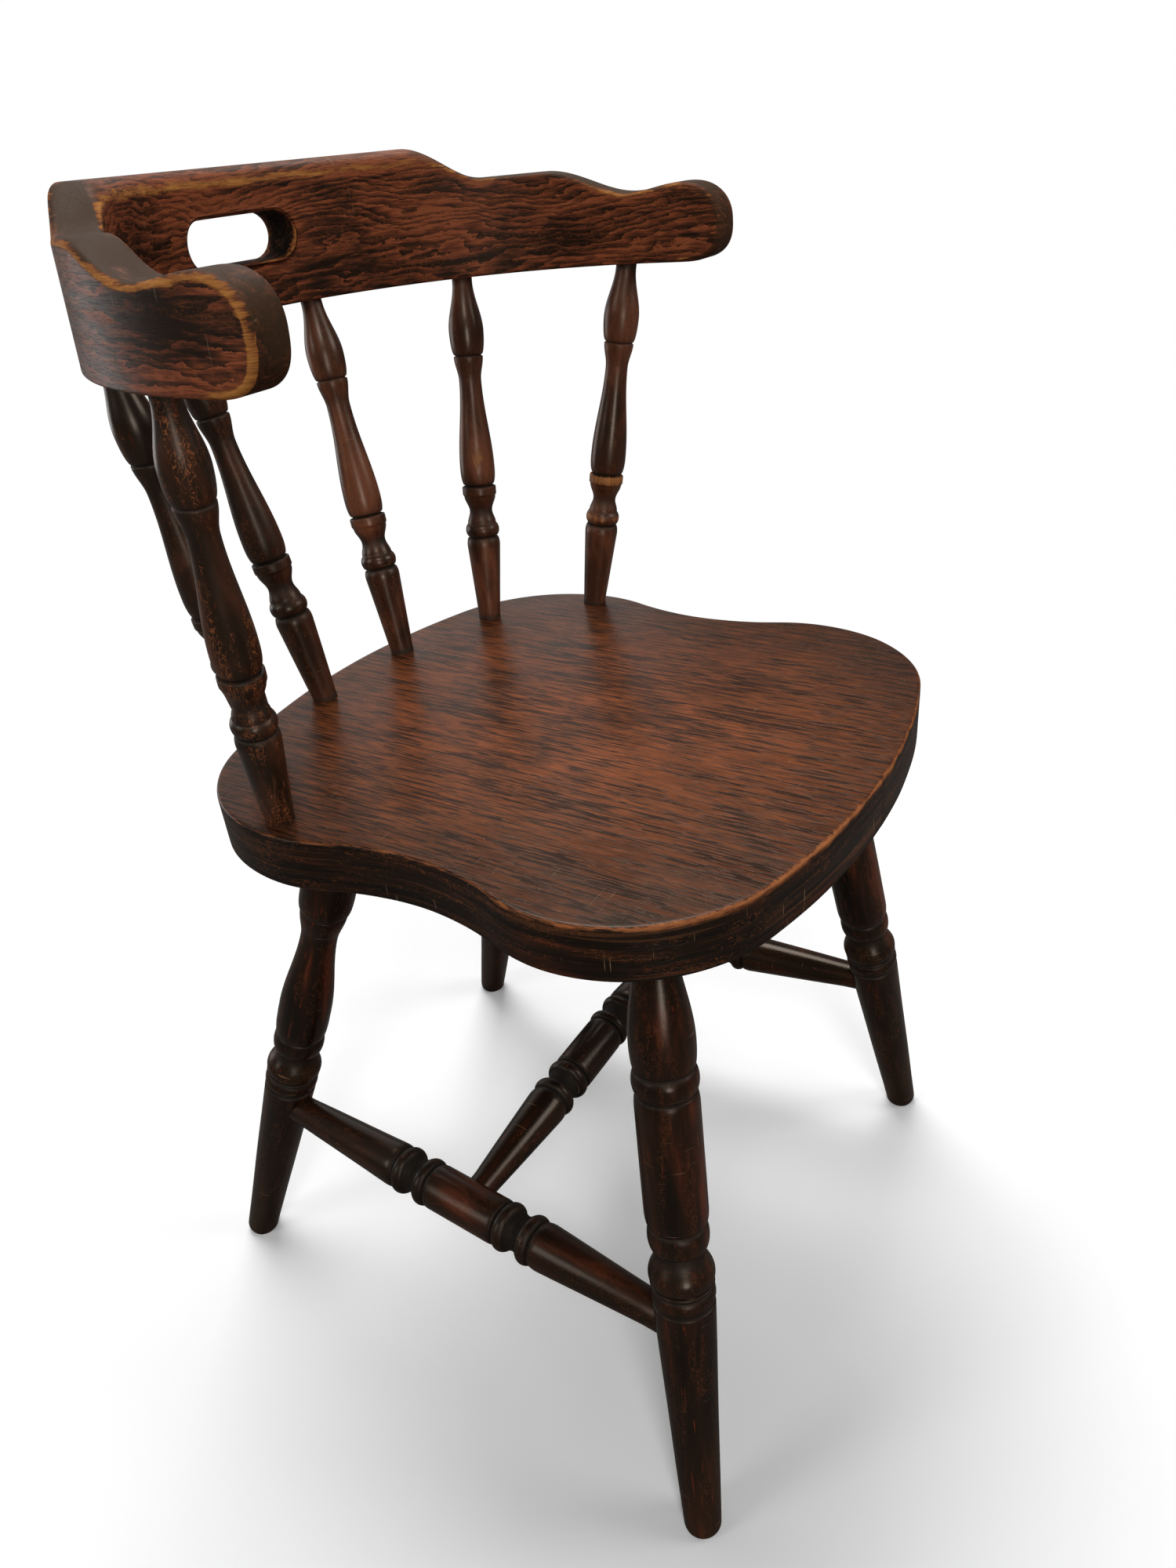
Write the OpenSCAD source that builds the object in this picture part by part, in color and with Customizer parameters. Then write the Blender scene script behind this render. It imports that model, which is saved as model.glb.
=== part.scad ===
// Captain's chair: a solid seat on four turned legs with an H-shaped stretcher,
// and one bent crest and arm rail carried on six turned spindles.
// Millimetres, +Z up, the front of the seat faces -Y, the sitter's left is +X.
// Every joint is a round tenon glued into a blind socket.

/* [Seat] */
// Height of the seat's top above the floor
seat_h = 450; // [380:5:540]
// Thickness of the seat
seat_t = 33; // [27:0.5:40]
// From the seat's centre to its front edge
seat_front = 208; // [200:1:240]
// From the seat's centre to its back edge
seat_back = 195; // [185:1:220]
// Sideways place of the front corner's centre
corner_x = 95; // [80:1:114]
// How far the front corner's centre lies ahead of the seat's centre
corner_y = 99; // [85:1:106]
// Radius of the front corners
corner_r = 96; // [81:1:105]
// Sideways place of the back lobe's centre
lobe_x = 90; // [76:1:108]
// How far the back lobe's centre lies behind the seat's centre
lobe_y = 80; // [67:1:92]
// Radius of the back lobes
lobe_r = 101; // [85:1:106]
// Radius of the hollow in each side of the seat
waist_r = 166; // [130:1:240]

/* [Crest and arm rail] */
// Height of the crest's flat underside above the seat's top
crest_gap = 241; // [200:1:290]
// Radius of the rail's bend, to the middle of its thickness
rail_r = 206; // [196:1:250]
// How far the bend's centre lies behind the seat's centre
rail_centre_y = 12.5; // [5:0.5:25]
// Straight length of each arm in front of the bend
arm_len = 35.5; // [29:0.5:60]
// Thickness of the rail
rail_t = 24; // [22:1:29]
// How many degrees the rail's faces lean in towards the sitter
rail_lean = 3; // [0:0.5:4]
// Height of the raised middle of the crest
crest_h = 80; // [70:1:96]
// Length of the raised middle, along the bend, to where it starts to fall
crest_len = 270; // [220:1:326]
// Length over which each end of the raised middle falls to the shoulder
fall_len = 55; // [40:1:68]
// How far the back of the raised middle flares out at its top
crest_flare = 2.5; // [0:0.5:5]
// Height of the rail behind each arm
shoulder_h = 59; // [50:1:66]
// Length of each level shoulder, from the fall to where the dip starts
shoulder_len = 42; // [30:1:52]
// Height of the rail at the dip in each arm
dip_h = 43; // [40:1:49]
// From the bottom of each dip forward to the rounded end
dip_back = 38; // [28:1:46]
// Height of the rail at the hump near each arm's end
hump_h = 47; // [45:1:52]
// Length of each arm's rounded end
nose_len = 28; // [22:1:34]
// How much thinner each arm is at its tip, on the sitter's side
nose_thin = 1.5; // [0:0.25:4]
// Radius of the roll along the sitter's side of the raised middle
roll_r = 11; // [5:1:14]
// Radius of the rail's other top edges
edge_r = 3.5; // [2:0.5:5]
// Length of the hand slot
slot_len = 86; // [71:1:104]
// Height of the hand slot
slot_h = 26.5; // [21:0.5:32]
// From the crest's underside to the bottom of the hand slot
slot_rise = 27.5; // [22:0.5:34]

/* [Legs] */
// Sideways place of the front feet
front_foot_x = 203; // [168:1:245]
// How far the front feet lie ahead of the seat's centre
front_foot_y = 179; // [150:1:215]
// Sideways place of the front legs' tops
front_top_x = 123; // [110:1:140]
// How far the front legs' tops lie ahead of the seat's centre
front_top_y = 124; // [110:1:145]
// Sideways place of the back feet
back_foot_x = 169; // [145:1:200]
// How far the back feet lie behind the seat's centre
back_foot_y = 249; // [210:1:290]
// Sideways place of the back legs' tops
back_top_x = 99; // [86:1:118]
// How far the back legs' tops lie behind the seat's centre
back_top_y = 110; // [95:1:130]
// Diameter of each foot
foot_d = 24; // [20:1:30]
// Diameter at the top of the long taper
taper_d = 38; // [31:0.2:46]
// Length of the long taper, from the floor to the first groove
taper_len = 177; // [165:1:205]
// Diameter of the double collar above the taper
collar_d = 40; // [38.5:0.5:46]
// Height of the double collar
collar_len = 37; // [33:1:45]
// Height of the collar's lower lobe
collar_low_len = 12; // [10:0.5:15]
// Height of the thin ring between the collar's lobes
collar_ring_len = 3; // [2:0.5:4]
// Diameter of the single bead above the collar
leg_bead_d = 36.8; // [35:0.2:44]
// Height of the single bead
leg_bead_len = 16; // [13:1:19]
// Diameter of the deep groove between the collar and the bead
leg_waist_d = 28.5; // [24:0.5:34]
// Largest diameter of the leg's barrels and vases
leg_vase_d = 37.8; // [34:0.2:45]
// Depth of the leg's narrow grooves
leg_groove = 1.7; // [1:0.1:2.5]
// Length of the top vase, from the seat to its groove
leg_top_len = 94; // [80:1:110]
// Diameter of the leg's neck under the seat
leg_neck_d = 24; // [20:0.5:29]
// Diameter of the back legs' slim neck
back_neck_d = 25.5; // [21:0.5:31]

/* [Spindles] */
// Diameter of the spindles at the seat
spindle_foot_d = 16.8; // [14:0.2:20.2]
// Diameter of the spindles at the crest
spindle_head_d = 14; // [11.6:0.2:17]
// Largest diameter of the spindles' bulbs and vases
spindle_d = 25.8; // [22:0.2:31]
// Diameter of the spindles' two beads
spindle_bead_d = 25.2; // [22:0.2:30.4]
// Diameter of the spindles' slim necks
spindle_neck_d = 17; // [14:0.2:20.4]
// Length of the plain foot below the lower bead
spindle_foot_len = 63; // [52:1:74]
// Height of the two beads and the neck between them
spindle_bead_len = 38; // [31:1:45]
// Length of the bulb under the crest
spindle_bulb_len = 51; // [42:1:60]
// Angle of the back pair's heads round the bend, from the middle of the crest
back_head_a = 16; // [14:0.5:24]
// Angle of the middle pair's heads
mid_head_a = 46.5; // [40:0.5:54]
// Angle of the front pair's heads
front_head_a = 79; // [72:0.5:84]
// Sideways place of the back pair's feet
back_spin_x = 42; // [36:1:50]
// How far the back pair's feet lie behind the seat's centre
back_spin_y = 172; // [160:1:176]
// Sideways place of the middle pair's feet
mid_spin_x = 120; // [105:1:130]
// How far the middle pair's feet lie behind the seat's centre
mid_spin_y = 147; // [130:1:152]
// Sideways place of the front pair's feet
front_spin_x = 175; // [160:1:177]
// How far the front pair's feet lie behind the seat's centre
front_spin_y = 84; // [70:1:95]

/* [Stretchers] */
// Height of the side stretchers at the front legs
stretcher_front_h = 151; // [126:1:181]
// Height of the side stretchers at the back legs
stretcher_back_h = 145; // [120:1:174]
// How far the middle of each side stretcher's turning lies ahead of halfway
side_shift = 7; // [-8:1:9]
// Diameter of the stretchers at their ends
stretcher_end_d = 21.6; // [18:0.2:26]
// Diameter of the stretchers where they are widest
stretcher_d = 31.2; // [27:0.2:36]
// Diameter of the stretchers' beads
stretcher_bead_d = 33.2; // [30:0.2:38]
// Diameter of the hollow between two beads
stretcher_cove_d = 24.4; // [21:0.2:28]
// Width of each bead
stretcher_bead_len = 9; // [7:0.5:10]
// From the middle of a side stretcher to its inner beads
side_bead_in = 36; // [30:1:42]
// From the middle of a side stretcher to its outer beads
side_bead_out = 56; // [53:1:64]
// From the middle of the centre stretcher to its inner beads
centre_bead_in = 31; // [26:1:37]
// From the middle of the centre stretcher to its outer beads
centre_bead_out = 51; // [48:1:60]
// Diameter of the centre stretcher's tenons
centre_tenon_d = 20; // [16.6:0.2:24]
// Plain run of every stretcher's end outside the leg or stretcher it enters
plain_run = 5; // [4:0.5:12]

/* [Joints] */
// Glue gap round every tenon
glue_gap = 0.2; // [0.1:0.05:0.3]
// Gap at the blind end of every socket
end_gap = 1; // [0.5:0.25:2]
// Depth of the leg sockets in the seat
leg_socket = 22; // [16:1:24]
// Depth of the spindle sockets in the seat
seat_socket = 20; // [14:1:24]
// Depth of the spindle sockets in the crest
crest_socket = 18; // [12:1:20]
// Solid wood left between the tips of the tenons that meet in one leg
tenon_stop = 4; // [3:0.5:6]

/* [Hidden] */
LEFT = 1;
RIGHT = -1;
WOOD = "#4a2a1c";
ARC_STEP = 4;
CURVE_STEPS = 7;
ROUND_FN = 72;
// The small step along the axis between two turned members
QUIRK = 0.5;
// How far a bore runs out past the face it starts from
RUN_OUT = 6;

seat_under = seat_h - seat_t;
crest_z = seat_h + crest_gap;

// The ends of every slanting axis, for the sitter's left
front_foot = [front_foot_x, -front_foot_y, 0];
front_top = [front_top_x, -front_top_y, seat_under];
back_foot = [back_foot_x, back_foot_y, 0];
back_top = [back_top_x, back_top_y, seat_under];
front_leg_ends = [front_foot, front_top];
back_leg_ends = [back_foot, back_top];
stretcher_front = front_foot + (front_top - front_foot) * stretcher_front_h / seat_under;
stretcher_back = back_foot + (back_top - back_foot) * stretcher_back_h / seat_under;
side_len = norm(stretcher_front - stretcher_back);
side_mid = stretcher_back + (stretcher_front - stretcher_back) * (0.5 + side_shift / side_len);

// The whole chair is moved so that the origin is under the middle of its outline
foot_reach = foot_d / 2 * norm(back_top - back_foot) / norm([back_top.x - back_foot.x, 0, seat_under]);
origin_y = (back_foot_y + foot_reach - seat_front) / 2;

module centred() {
    translate([0, -origin_y, 0])
        children();
}

// ---- Sides: every slanting piece is placed for the sitter's left, then for the right ----

function on_side(p, side) = [side * p.x, p.y, p.z];

function side_ends(ends, side) = [on_side(ends[0], side), on_side(ends[1], side)];

// Stands children on the line between two ends, with their origin at the first and unturned
module along(ends) {
    d = ends[1] - ends[0];
    turn = atan2(d.y, d.x);
    translate(ends[0])
        rotate([0, acos(d.z / norm(d)), turn])
            rotate([0, 0, -turn])
                children();
}

// ---- Curves for the turnings: points are [radius, height along the axis] ----

function ease(u) = (1 - cos(180 * u)) / 2;

// A flowing curve from a to b that leaves and arrives along the axis
function flow(a, b, n = CURVE_STEPS) =
    [for (i = [0 : n]) let (u = i / n) [a[0] + (b[0] - a[0]) * ease(u), a[1] + (b[1] - a[1]) * u]];

// A quarter-round shoulder from the wide point a up to the narrow point b
function shoulder(a, b, n = CURVE_STEPS) =
    [for (i = [0 : n]) let (t = 90 * i / n) [b[0] + (a[0] - b[0]) * cos(t), a[1] + (b[1] - a[1]) * sin(t)]];

// The same shoulder, from the narrow point a up to the wide point b
function shoulder_out(a, b, n = CURVE_STEPS) =
    [for (i = [0 : n]) let (t = 90 * i / n) [a[0] + (b[0] - a[0]) * sin(t), b[1] + (a[1] - b[1]) * cos(t)]];

// A round bead of radius r on a core, between two heights
function bead(z0, z1, core, r, n = 8) =
    [for (i = [0 : n]) let (t = 180 * i / n)
        [core + (r - core) * sin(t), (z0 + z1) / 2 - (z1 - z0) / 2 * cos(t)]];

// A solid turned about Z from a profile that starts and ends on the axis
module turned(profile) {
    rotate_extrude($fn = ROUND_FN)
        polygon(profile);
}

// ---- Legs ----

leg_tenon = leg_socket - end_gap;
// The turned foot reaches this far below the floor before it is cut flat
foot_sink = 2.5;
foot_round = 7;
// Lengths of the neck under the seat, of the back leg's slim run and of its lip's flare
leg_neck_run = 20;
back_neck_run = 26;
lip_edge = 2;
lip_drop = 2.4;
// Heights over which the shoulders swell to their full size
collar_rise = 6;
barrel_rise = 5;
vase_rise = 15;
vase_belly = 10;
// Runs of the waist above the collar and of the ring above the front barrel
waist_run = 2;
ring_len = 15;
leg_lower_len = taper_len + collar_len + waist_run + leg_bead_len + QUIRK;

// The taper, the double collar and the bead, which all four legs share
function leg_lower() =
    let (r = foot_d / 2, t = taper_d / 2, c = collar_d / 2, waist = leg_waist_d / 2)
    let (b = leg_bead_d / 2, core = t - leg_groove, low = taper_len + collar_low_len)
    let (ring = low + collar_ring_len, top = taper_len + collar_len)
    concat(
        [[0, -foot_sink]],
        shoulder_out([r - foot_round, -foot_sink], [r, foot_round - foot_sink]),
        [[t, taper_len - 2 * QUIRK], [core, taper_len + QUIRK]],
        bead(taper_len + 2 * QUIRK, low, core, c - QUIRK),
        bead(low + QUIRK, ring, core + QUIRK, c - QUIRK),
        shoulder_out([c - leg_groove, ring + QUIRK], [c, ring + collar_rise]),
        flow([c, ring + collar_rise], [waist, top]),
        [[waist, top + waist_run]],
        bead(top + waist_run + QUIRK, leg_lower_len - QUIRK, b - leg_groove, b));

// The top vase and the tenon, for a leg of the given length
function leg_upper(len) =
    let (r = leg_vase_d / 2, z = len - leg_top_len)
    concat(
        shoulder_out([r - leg_groove, z], [r, z + vase_rise]),
        flow([r, z + vase_rise], [leg_neck_d / 2, len - leg_neck_run], 12),
        [[leg_neck_d / 2, len + leg_tenon], [0, len + leg_tenon]]);

// Front: a long barrel between the bead and a ring
function front_middle(len) =
    let (r = leg_vase_d / 2, z = len - leg_top_len - ring_len - QUIRK)
    concat(
        shoulder_out([r - leg_groove, leg_lower_len], [r, leg_lower_len + barrel_rise], 4),
        shoulder([r, z - barrel_rise], [r - leg_groove, z], 4),
        bead(z + QUIRK, z + ring_len, r - leg_groove, r + QUIRK));

// Back: a vase that narrows to a slim neck and flares to a lip
function back_middle(len) =
    let (r = leg_vase_d / 2, n = back_neck_d / 2, z = len - leg_top_len, lip = r - lip_drop)
    let (wide = leg_lower_len + vase_rise + vase_belly)
    concat(
        shoulder_out([r - leg_groove, leg_lower_len], [r, leg_lower_len + vase_rise]),
        flow([r, wide], [n, z - back_neck_run], 12),
        flow([n, z - back_neck_run], [lip, z - lip_edge]),
        [[lip - leg_groove, z - QUIRK]]);

// A leg, cut flat at the floor and bored for the side stretcher
module leg(ends, joint_ends, middle) {
    floor_cut = 4 * foot_d;
    color(WOOD)
        centred()
            difference() {
                along(ends)
                    turned(concat(leg_lower(), middle, leg_upper(norm(ends[1] - ends[0]))));
                translate([ends[0].x - floor_cut / 2, ends[0].y - floor_cut / 2, -floor_cut])
                    cube(floor_cut);
                along(joint_ends)
                    translate([0, 0, tenon_stop - end_gap])
                        cylinder(d = stretcher_end_d + 2 * glue_gap, h = collar_d, $fn = ROUND_FN);
            }
}

module front_leg(side) {
    leg(side_ends(front_leg_ends, side), side_ends([stretcher_front, stretcher_back], side),
        front_middle(norm(front_top - front_foot)));
}

module back_leg(side) {
    leg(side_ends(back_leg_ends, side), side_ends([stretcher_back, stretcher_front], side),
        back_middle(norm(back_top - back_foot)));
}

// ---- Stretchers ----

// Lengths over which a barrel rounds off beside a bead, inside and outside the pair
barrel_round = 4;
taper_round = 6;
// How far the hollow between two beads flares at its ends, and the depth beside each bead
cove_flare = 1;
bead_groove = 1.4;

// One half of a stretcher's turning, from its middle out to the tenon's tip
function stretcher_half(bead_in, bead_out, plain, tip, end_r) =
    let (w = stretcher_bead_len / 2, r = stretcher_d / 2, b = stretcher_bead_d / 2)
    let (c = stretcher_cove_d / 2, core = r - bead_groove, cove = (bead_in + bead_out) / 2)
    let (first = bead_in - w - 2 * QUIRK, last = bead_out + w + 2 * QUIRK)
    concat(
        [[r, 0]],
        shoulder([r, first - barrel_round], [core, first], 4),
        bead(bead_in - w, bead_in + w, core, b),
        flow([c + cove_flare, bead_in + w + QUIRK], [c, cove], 3),
        flow([c, cove + QUIRK], [c + cove_flare, bead_out - w - QUIRK], 3),
        bead(bead_out - w, bead_out + w, core, b),
        shoulder_out([core, last], [r, last + taper_round], 4),
        [[end_r, plain], [end_r, tip], [0, tip]]);

function flipped(half) = [for (i = [len(half) - 1 : -1 : 1]) [half[i][0], -half[i][1]]];

// Where the plain end of a side stretcher starts, back from the leg's axis
leg_reach = collar_d / 2 + plain_run;

module side_stretcher(side) {
    front_len = norm(stretcher_front - side_mid);
    back_len = norm(stretcher_back - side_mid);
    end_r = stretcher_end_d / 2;
    front_half = stretcher_half(side_bead_in, side_bead_out, front_len - leg_reach,
        front_len - tenon_stop, end_r);
    back_half = stretcher_half(side_bead_in, side_bead_out, back_len - leg_reach,
        back_len - tenon_stop, end_r);
    color(WOOD)
        centred()
            difference() {
                along(side_ends([side_mid, stretcher_front], side))
                    turned(concat(flipped(back_half), front_half));
                along([on_side(side_mid, side), on_side(side_mid, -side)])
                    translate([0, 0, tenon_stop - end_gap])
                        cylinder(d = centre_tenon_d + 2 * glue_gap, h = stretcher_d, $fn = ROUND_FN);
            }
}

module centre_stretcher() {
    half_len = side_mid.x;
    half = stretcher_half(centre_bead_in, centre_bead_out, half_len - stretcher_d / 2 - plain_run,
        half_len - tenon_stop, centre_tenon_d / 2);
    color(WOOD)
        centred()
            translate([0, side_mid.y, side_mid.z])
                rotate([0, 90, 0])
                    turned(concat(flipped(half), half));
}

// ---- Spindles ----

function head(angle) =
    [rail_r * sin(angle), rail_centre_y + rail_r * cos(angle), crest_z];

back_spin = [[back_spin_x, back_spin_y, seat_h], head(back_head_a)];
mid_spin = [[mid_spin_x, mid_spin_y, seat_h], head(mid_head_a)];
front_spin = [[front_spin_x, front_spin_y, seat_h], head(front_head_a)];

// Plain runs of the foot at the seat and of the head at the crest
foot_run = 2;
head_run = 3;
// Depth of the grooves beside the beads and under the bulb
spindle_groove = 2;
// Lengths of the foot's rounded top, the lower bead, the flat disc and the runs beside them
foot_top_len = 6;
low_bead_len = 10;
disc_len = 6.5;
disc_edge = 0.8;
// The vase's rise to its widest, its slim run below the lip, and the lip's depth
spindle_rise = 11;
slim_run = 17;
spindle_lip = 2.4;
bulb_rise = 16;

// Bottom up: foot, bead, neck, disc, vase, lip, bulb
function spindle_profile(len) =
    let (f = spindle_foot_d / 2, h = spindle_head_d / 2, r = spindle_d / 2, b = spindle_bead_d / 2)
    let (n = spindle_neck_d / 2, core = b - spindle_groove, lip = r - spindle_lip)
    let (z1 = spindle_foot_len, z2 = z1 + spindle_bead_len, z3 = len - spindle_bulb_len)
    let (neck = (z1 + z2) / 2)
    concat(
        [[0, end_gap - seat_socket], [f, end_gap - seat_socket], [f, foot_run]],
        shoulder([r - QUIRK, z1 - foot_top_len], [core, z1], 5),
        bead(z1 + QUIRK, z1 + low_bead_len, core, b, 7),
        flow([core, z1 + low_bead_len + QUIRK], [n, neck], 6),
        flow([n, neck + QUIRK], [b - disc_edge, z2 - disc_len - disc_edge], 6),
        [[b, z2 - disc_len], [b, z2 - 2 * disc_edge], [b - disc_edge, z2 - disc_edge], [core, z2]],
        shoulder_out([core, z2 + QUIRK], [r, z2 + spindle_rise], 6),
        flow([r, z2 + spindle_rise], [n - QUIRK, z3 - slim_run], 12),
        flow([n - QUIRK, z3 - slim_run], [lip, z3 - 2 * QUIRK], 6),
        [[lip - disc_edge, z3 - QUIRK]],
        shoulder_out([lip - disc_edge, z3], [r - QUIRK, z3 + bulb_rise], 6),
        flow([r - QUIRK, z3 + bulb_rise], [h, len - head_run], 10),
        [[h, len + crest_socket - end_gap], [0, len + crest_socket - end_gap]]);

module spindle(ends, side) {
    color(WOOD)
        centred()
            along(side_ends(ends, side))
                turned(spindle_profile(norm(ends[1] - ends[0])));
}

// ---- Seat ----

// Points on a circle between two angles, in either direction
function arc(c, r, a0, a1) =
    let (n = max(2, ceil(abs(a1 - a0) / ARC_STEP)))
    [for (i = [0 : n]) let (t = a0 + (a1 - a0) * i / n) [c.x + r * cos(t), c.y + r * sin(t)]];

// Radius of the arc that crosses the middle at reach and touches a corner circle
function crossing_r(x, y, r, reach) = (x * x + (reach - y) * (reach - y) - r * r) / (2 * (reach - y - r));

// The right half of the outline: front arc, corner, hollow, lobe and back arc, each
// touching the next
function seat_half() =
    let (corner = [corner_x, -corner_y], lobe = [lobe_x, lobe_y])
    let (front_r = crossing_r(corner_x, corner_y, corner_r, seat_front))
    let (back_r = crossing_r(lobe_x, lobe_y, lobe_r, seat_back))
    let (front_c = [0, front_r - seat_front], back_c = [0, seat_back - back_r])
    let (d = norm(lobe - corner), r1 = corner_r + waist_r, r2 = lobe_r + waist_r)
    let (q = (r1 * r1 - r2 * r2 + d * d) / (2 * d), h = sqrt(r1 * r1 - q * q))
    let (u = (lobe - corner) / d, waist = corner + q * u + h * [u.y, -u.x])
    let (a1 = atan2(corner.y - front_c.y, corner.x), a2 = atan2(waist.y - corner.y, waist.x - corner.x))
    let (a3 = atan2(waist.y - lobe.y, waist.x - lobe.x), a4 = atan2(lobe.y - back_c.y, lobe.x))
    concat(
        arc(front_c, front_r, -90, a1),
        arc(corner, corner_r, a1, a2),
        arc(waist, waist_r, a2 + 180, a3 + 180),
        arc(lobe, lobe_r, a3, a4),
        arc(back_c, back_r, a4, 90));

// Two outline points nearer than this are one
SAME_POINT = 0.01;

module seat_outline() {
    half = seat_half();
    last = len(half) - 1;
    right = [for (i = [1 : last - 1]) if (norm(half[i] - half[i - 1]) > SAME_POINT) half[i]];
    left = [for (i = [len(right) - 1 : -1 : 0]) [-right[i].x, right[i].y]];
    polygon(concat([half[0]], right, [half[last]], left));
}

module seat() {
    color(WOOD)
        centred()
            difference() {
                translate([0, 0, seat_under])
                    linear_extrude(seat_t)
                        seat_outline();
                for (side = [LEFT, RIGHT]) {
                    for (ends = [front_leg_ends, back_leg_ends])
                        leg_bore(side_ends(ends, side));
                    for (ends = [back_spin, mid_spin, front_spin])
                        spindle_bore(side_ends(ends, side));
                }
            }
}

// A blind socket up into the seat's underside
module leg_bore(ends) {
    along(ends)
        translate([0, 0, norm(ends[1] - ends[0]) - RUN_OUT])
            cylinder(d = leg_neck_d + 2 * glue_gap, h = leg_socket + RUN_OUT, $fn = ROUND_FN);
}

// A blind socket down into the seat's top
module spindle_bore(ends) {
    along(ends)
        translate([0, 0, -seat_socket])
            cylinder(d = spindle_foot_d + 2 * glue_gap, h = seat_socket + RUN_OUT, $fn = ROUND_FN);
}

// ---- Crest and arm rail ----

bend_len = rail_r * PI / 2;
fall_start = crest_len / 2;
fall_end = fall_start + fall_len;
dip_start = fall_end + shoulder_len;
nose_start = bend_len + arm_len - nose_len;
dip_mid = nose_start - dip_back;
// Length over which the roll on the raised middle runs out into the plain edge
ROLL_FADE = 40;
STATION_STEP = 7;
// The rounded ends: steps, the angle of the last one, and how square the curves are
NOSE_STEPS = 8;
NOSE_END = 82;
TOP_CURVE = 2.2;
BOTTOM_CURVE = 2.7;

function blend(s, s0, s1, h0, h1) = h0 + (h1 - h0) * ease(min(1, max(0, (s - s0) / (s1 - s0))));

// Height of the rail's top above its underside, at a distance along the bend
function rail_top(s) =
    s < fall_end ? blend(s, fall_start, fall_end, crest_h, shoulder_h) :
    s < dip_mid ? blend(s, dip_start, dip_mid, shoulder_h, dip_h) :
    blend(s, dip_mid, nose_start, dip_h, hump_h);

// How far the outer face has flared out at the top of the rail
function flare(s) = blend(s, fall_start, fall_end, crest_flare, 0);

// Radius of the sitter's side top edge, which rolls over along the raised middle
function inner_round(s) = blend(s, fall_start, fall_start + ROLL_FADE, roll_r, edge_r);

// Each station is [distance along the bend, bottom, top, inner edge radius, inner inset]
function body_station(s) = [s, 0, rail_top(s), inner_round(s), 0];

function nose_station(t) =
    let (u = sin(t), half = hump_h / 2, high = pow(1 - pow(u, TOP_CURVE), 1 / TOP_CURVE))
    let (low = pow(1 - pow(u, BOTTOM_CURVE), 1 / BOTTOM_CURVE))
    [nose_start + nose_len * u, half * (1 - low), half * (1 + high), edge_r * (1 + high) / 2,
        nose_thin * (1 - cos(t))];

body_steps = ceil(nose_start / STATION_STEP);
half_stations = concat(
    [for (i = [0 : body_steps - 1]) body_station(nose_start * i / body_steps)],
    [for (i = [0 : NOSE_STEPS]) nose_station(NOSE_END * i / NOSE_STEPS)]);
stations = concat(
    [for (i = [len(half_stations) - 1 : -1 : 1]) let (h = half_stations[i]) [-h[0], h[1], h[2], h[3], h[4]]],
    half_stations);

// Plan of the rail at a distance s along the bend, pushed out from its middle line
function rail_plan(s, out) =
    let (a = min(abs(s), bend_len) / rail_r * 180 / PI, run = max(0, abs(s) - bend_len))
    let (side = s < 0 ? -1 : 1)
    [side * (rail_r + out) * sin(a), rail_centre_y + (rail_r + out) * cos(a) - run];

function rail_point(s, out, z) =
    let (p = rail_plan(s, out - z * tan(rail_lean)))
    [p.x, p.y, crest_z + z];

// The height, as a share of the section, from which the outer face flares
FLARE_FROM = 0.6;
SECTION_POINTS = 10;

// The section's outline at a station, from the outer bottom round to the inner bottom
function section(st) =
    let (s = st[0], lo = st[1], hi = st[2], ri = st[3], ro = min(edge_r, ri))
    let (w = rail_t / 2, wi = w - st[4], wo = w + flare(abs(s)))
    concat(
        [rail_point(s, w, lo), rail_point(s, w, lo + (hi - lo) * FLARE_FROM)],
        [for (t = [0, 45, 90]) rail_point(s, wo - ro * (1 - cos(t)), hi - ro * (1 - sin(t)))],
        [for (t = [90, 60, 30, 0]) rail_point(s, -wi + ri * (1 - cos(t)), hi - ri * (1 - sin(t)))],
        [rail_point(s, -wi, lo)]);

module rail_blank() {
    n = len(stations);
    k = SECTION_POINTS;
    points = [for (st = stations) each section(st)];
    skin = [for (i = [0 : n - 2]) for (j = [0 : k - 1])
        let (a = i * k + j, b = i * k + (j + 1) % k)
        each [[a, a + k, b], [b, a + k, b + k]]];
    first_end = [for (j = [1 : k - 2]) [0, j, j + 1]];
    last_end = [for (j = [1 : k - 2]) [(n - 1) * k, (n - 1) * k + j + 1, (n - 1) * k + j]];
    polyhedron(points, concat(skin, first_end, last_end));
}

// The hand slot runs straight through from front to back
module hand_slot() {
    z = crest_z + slot_rise + slot_h / 2;
    half = (slot_len - slot_h) / 2;
    y0 = rail_centre_y + rail_r / 2;
    for (x = [-half, half])
        translate([x, y0, z])
            rotate([-90, 0, 0])
                cylinder(d = slot_h, h = rail_r, $fn = ROUND_FN);
    translate([-half, y0, z - slot_h / 2])
        cube([2 * half, rail_r, slot_h]);
}

module crest_and_arm_rail() {
    color(WOOD)
        centred()
            difference() {
                rail_blank();
                hand_slot();
                for (side = [LEFT, RIGHT])
                    for (ends = [back_spin, mid_spin, front_spin])
                        head_bore(side_ends(ends, side));
            }
}

// A blind socket up into the crest's underside
module head_bore(ends) {
    along(ends)
        translate([0, 0, norm(ends[1] - ends[0]) - RUN_OUT])
            cylinder(d = spindle_head_d + 2 * glue_gap, h = crest_socket + RUN_OUT, $fn = ROUND_FN);
}

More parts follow.
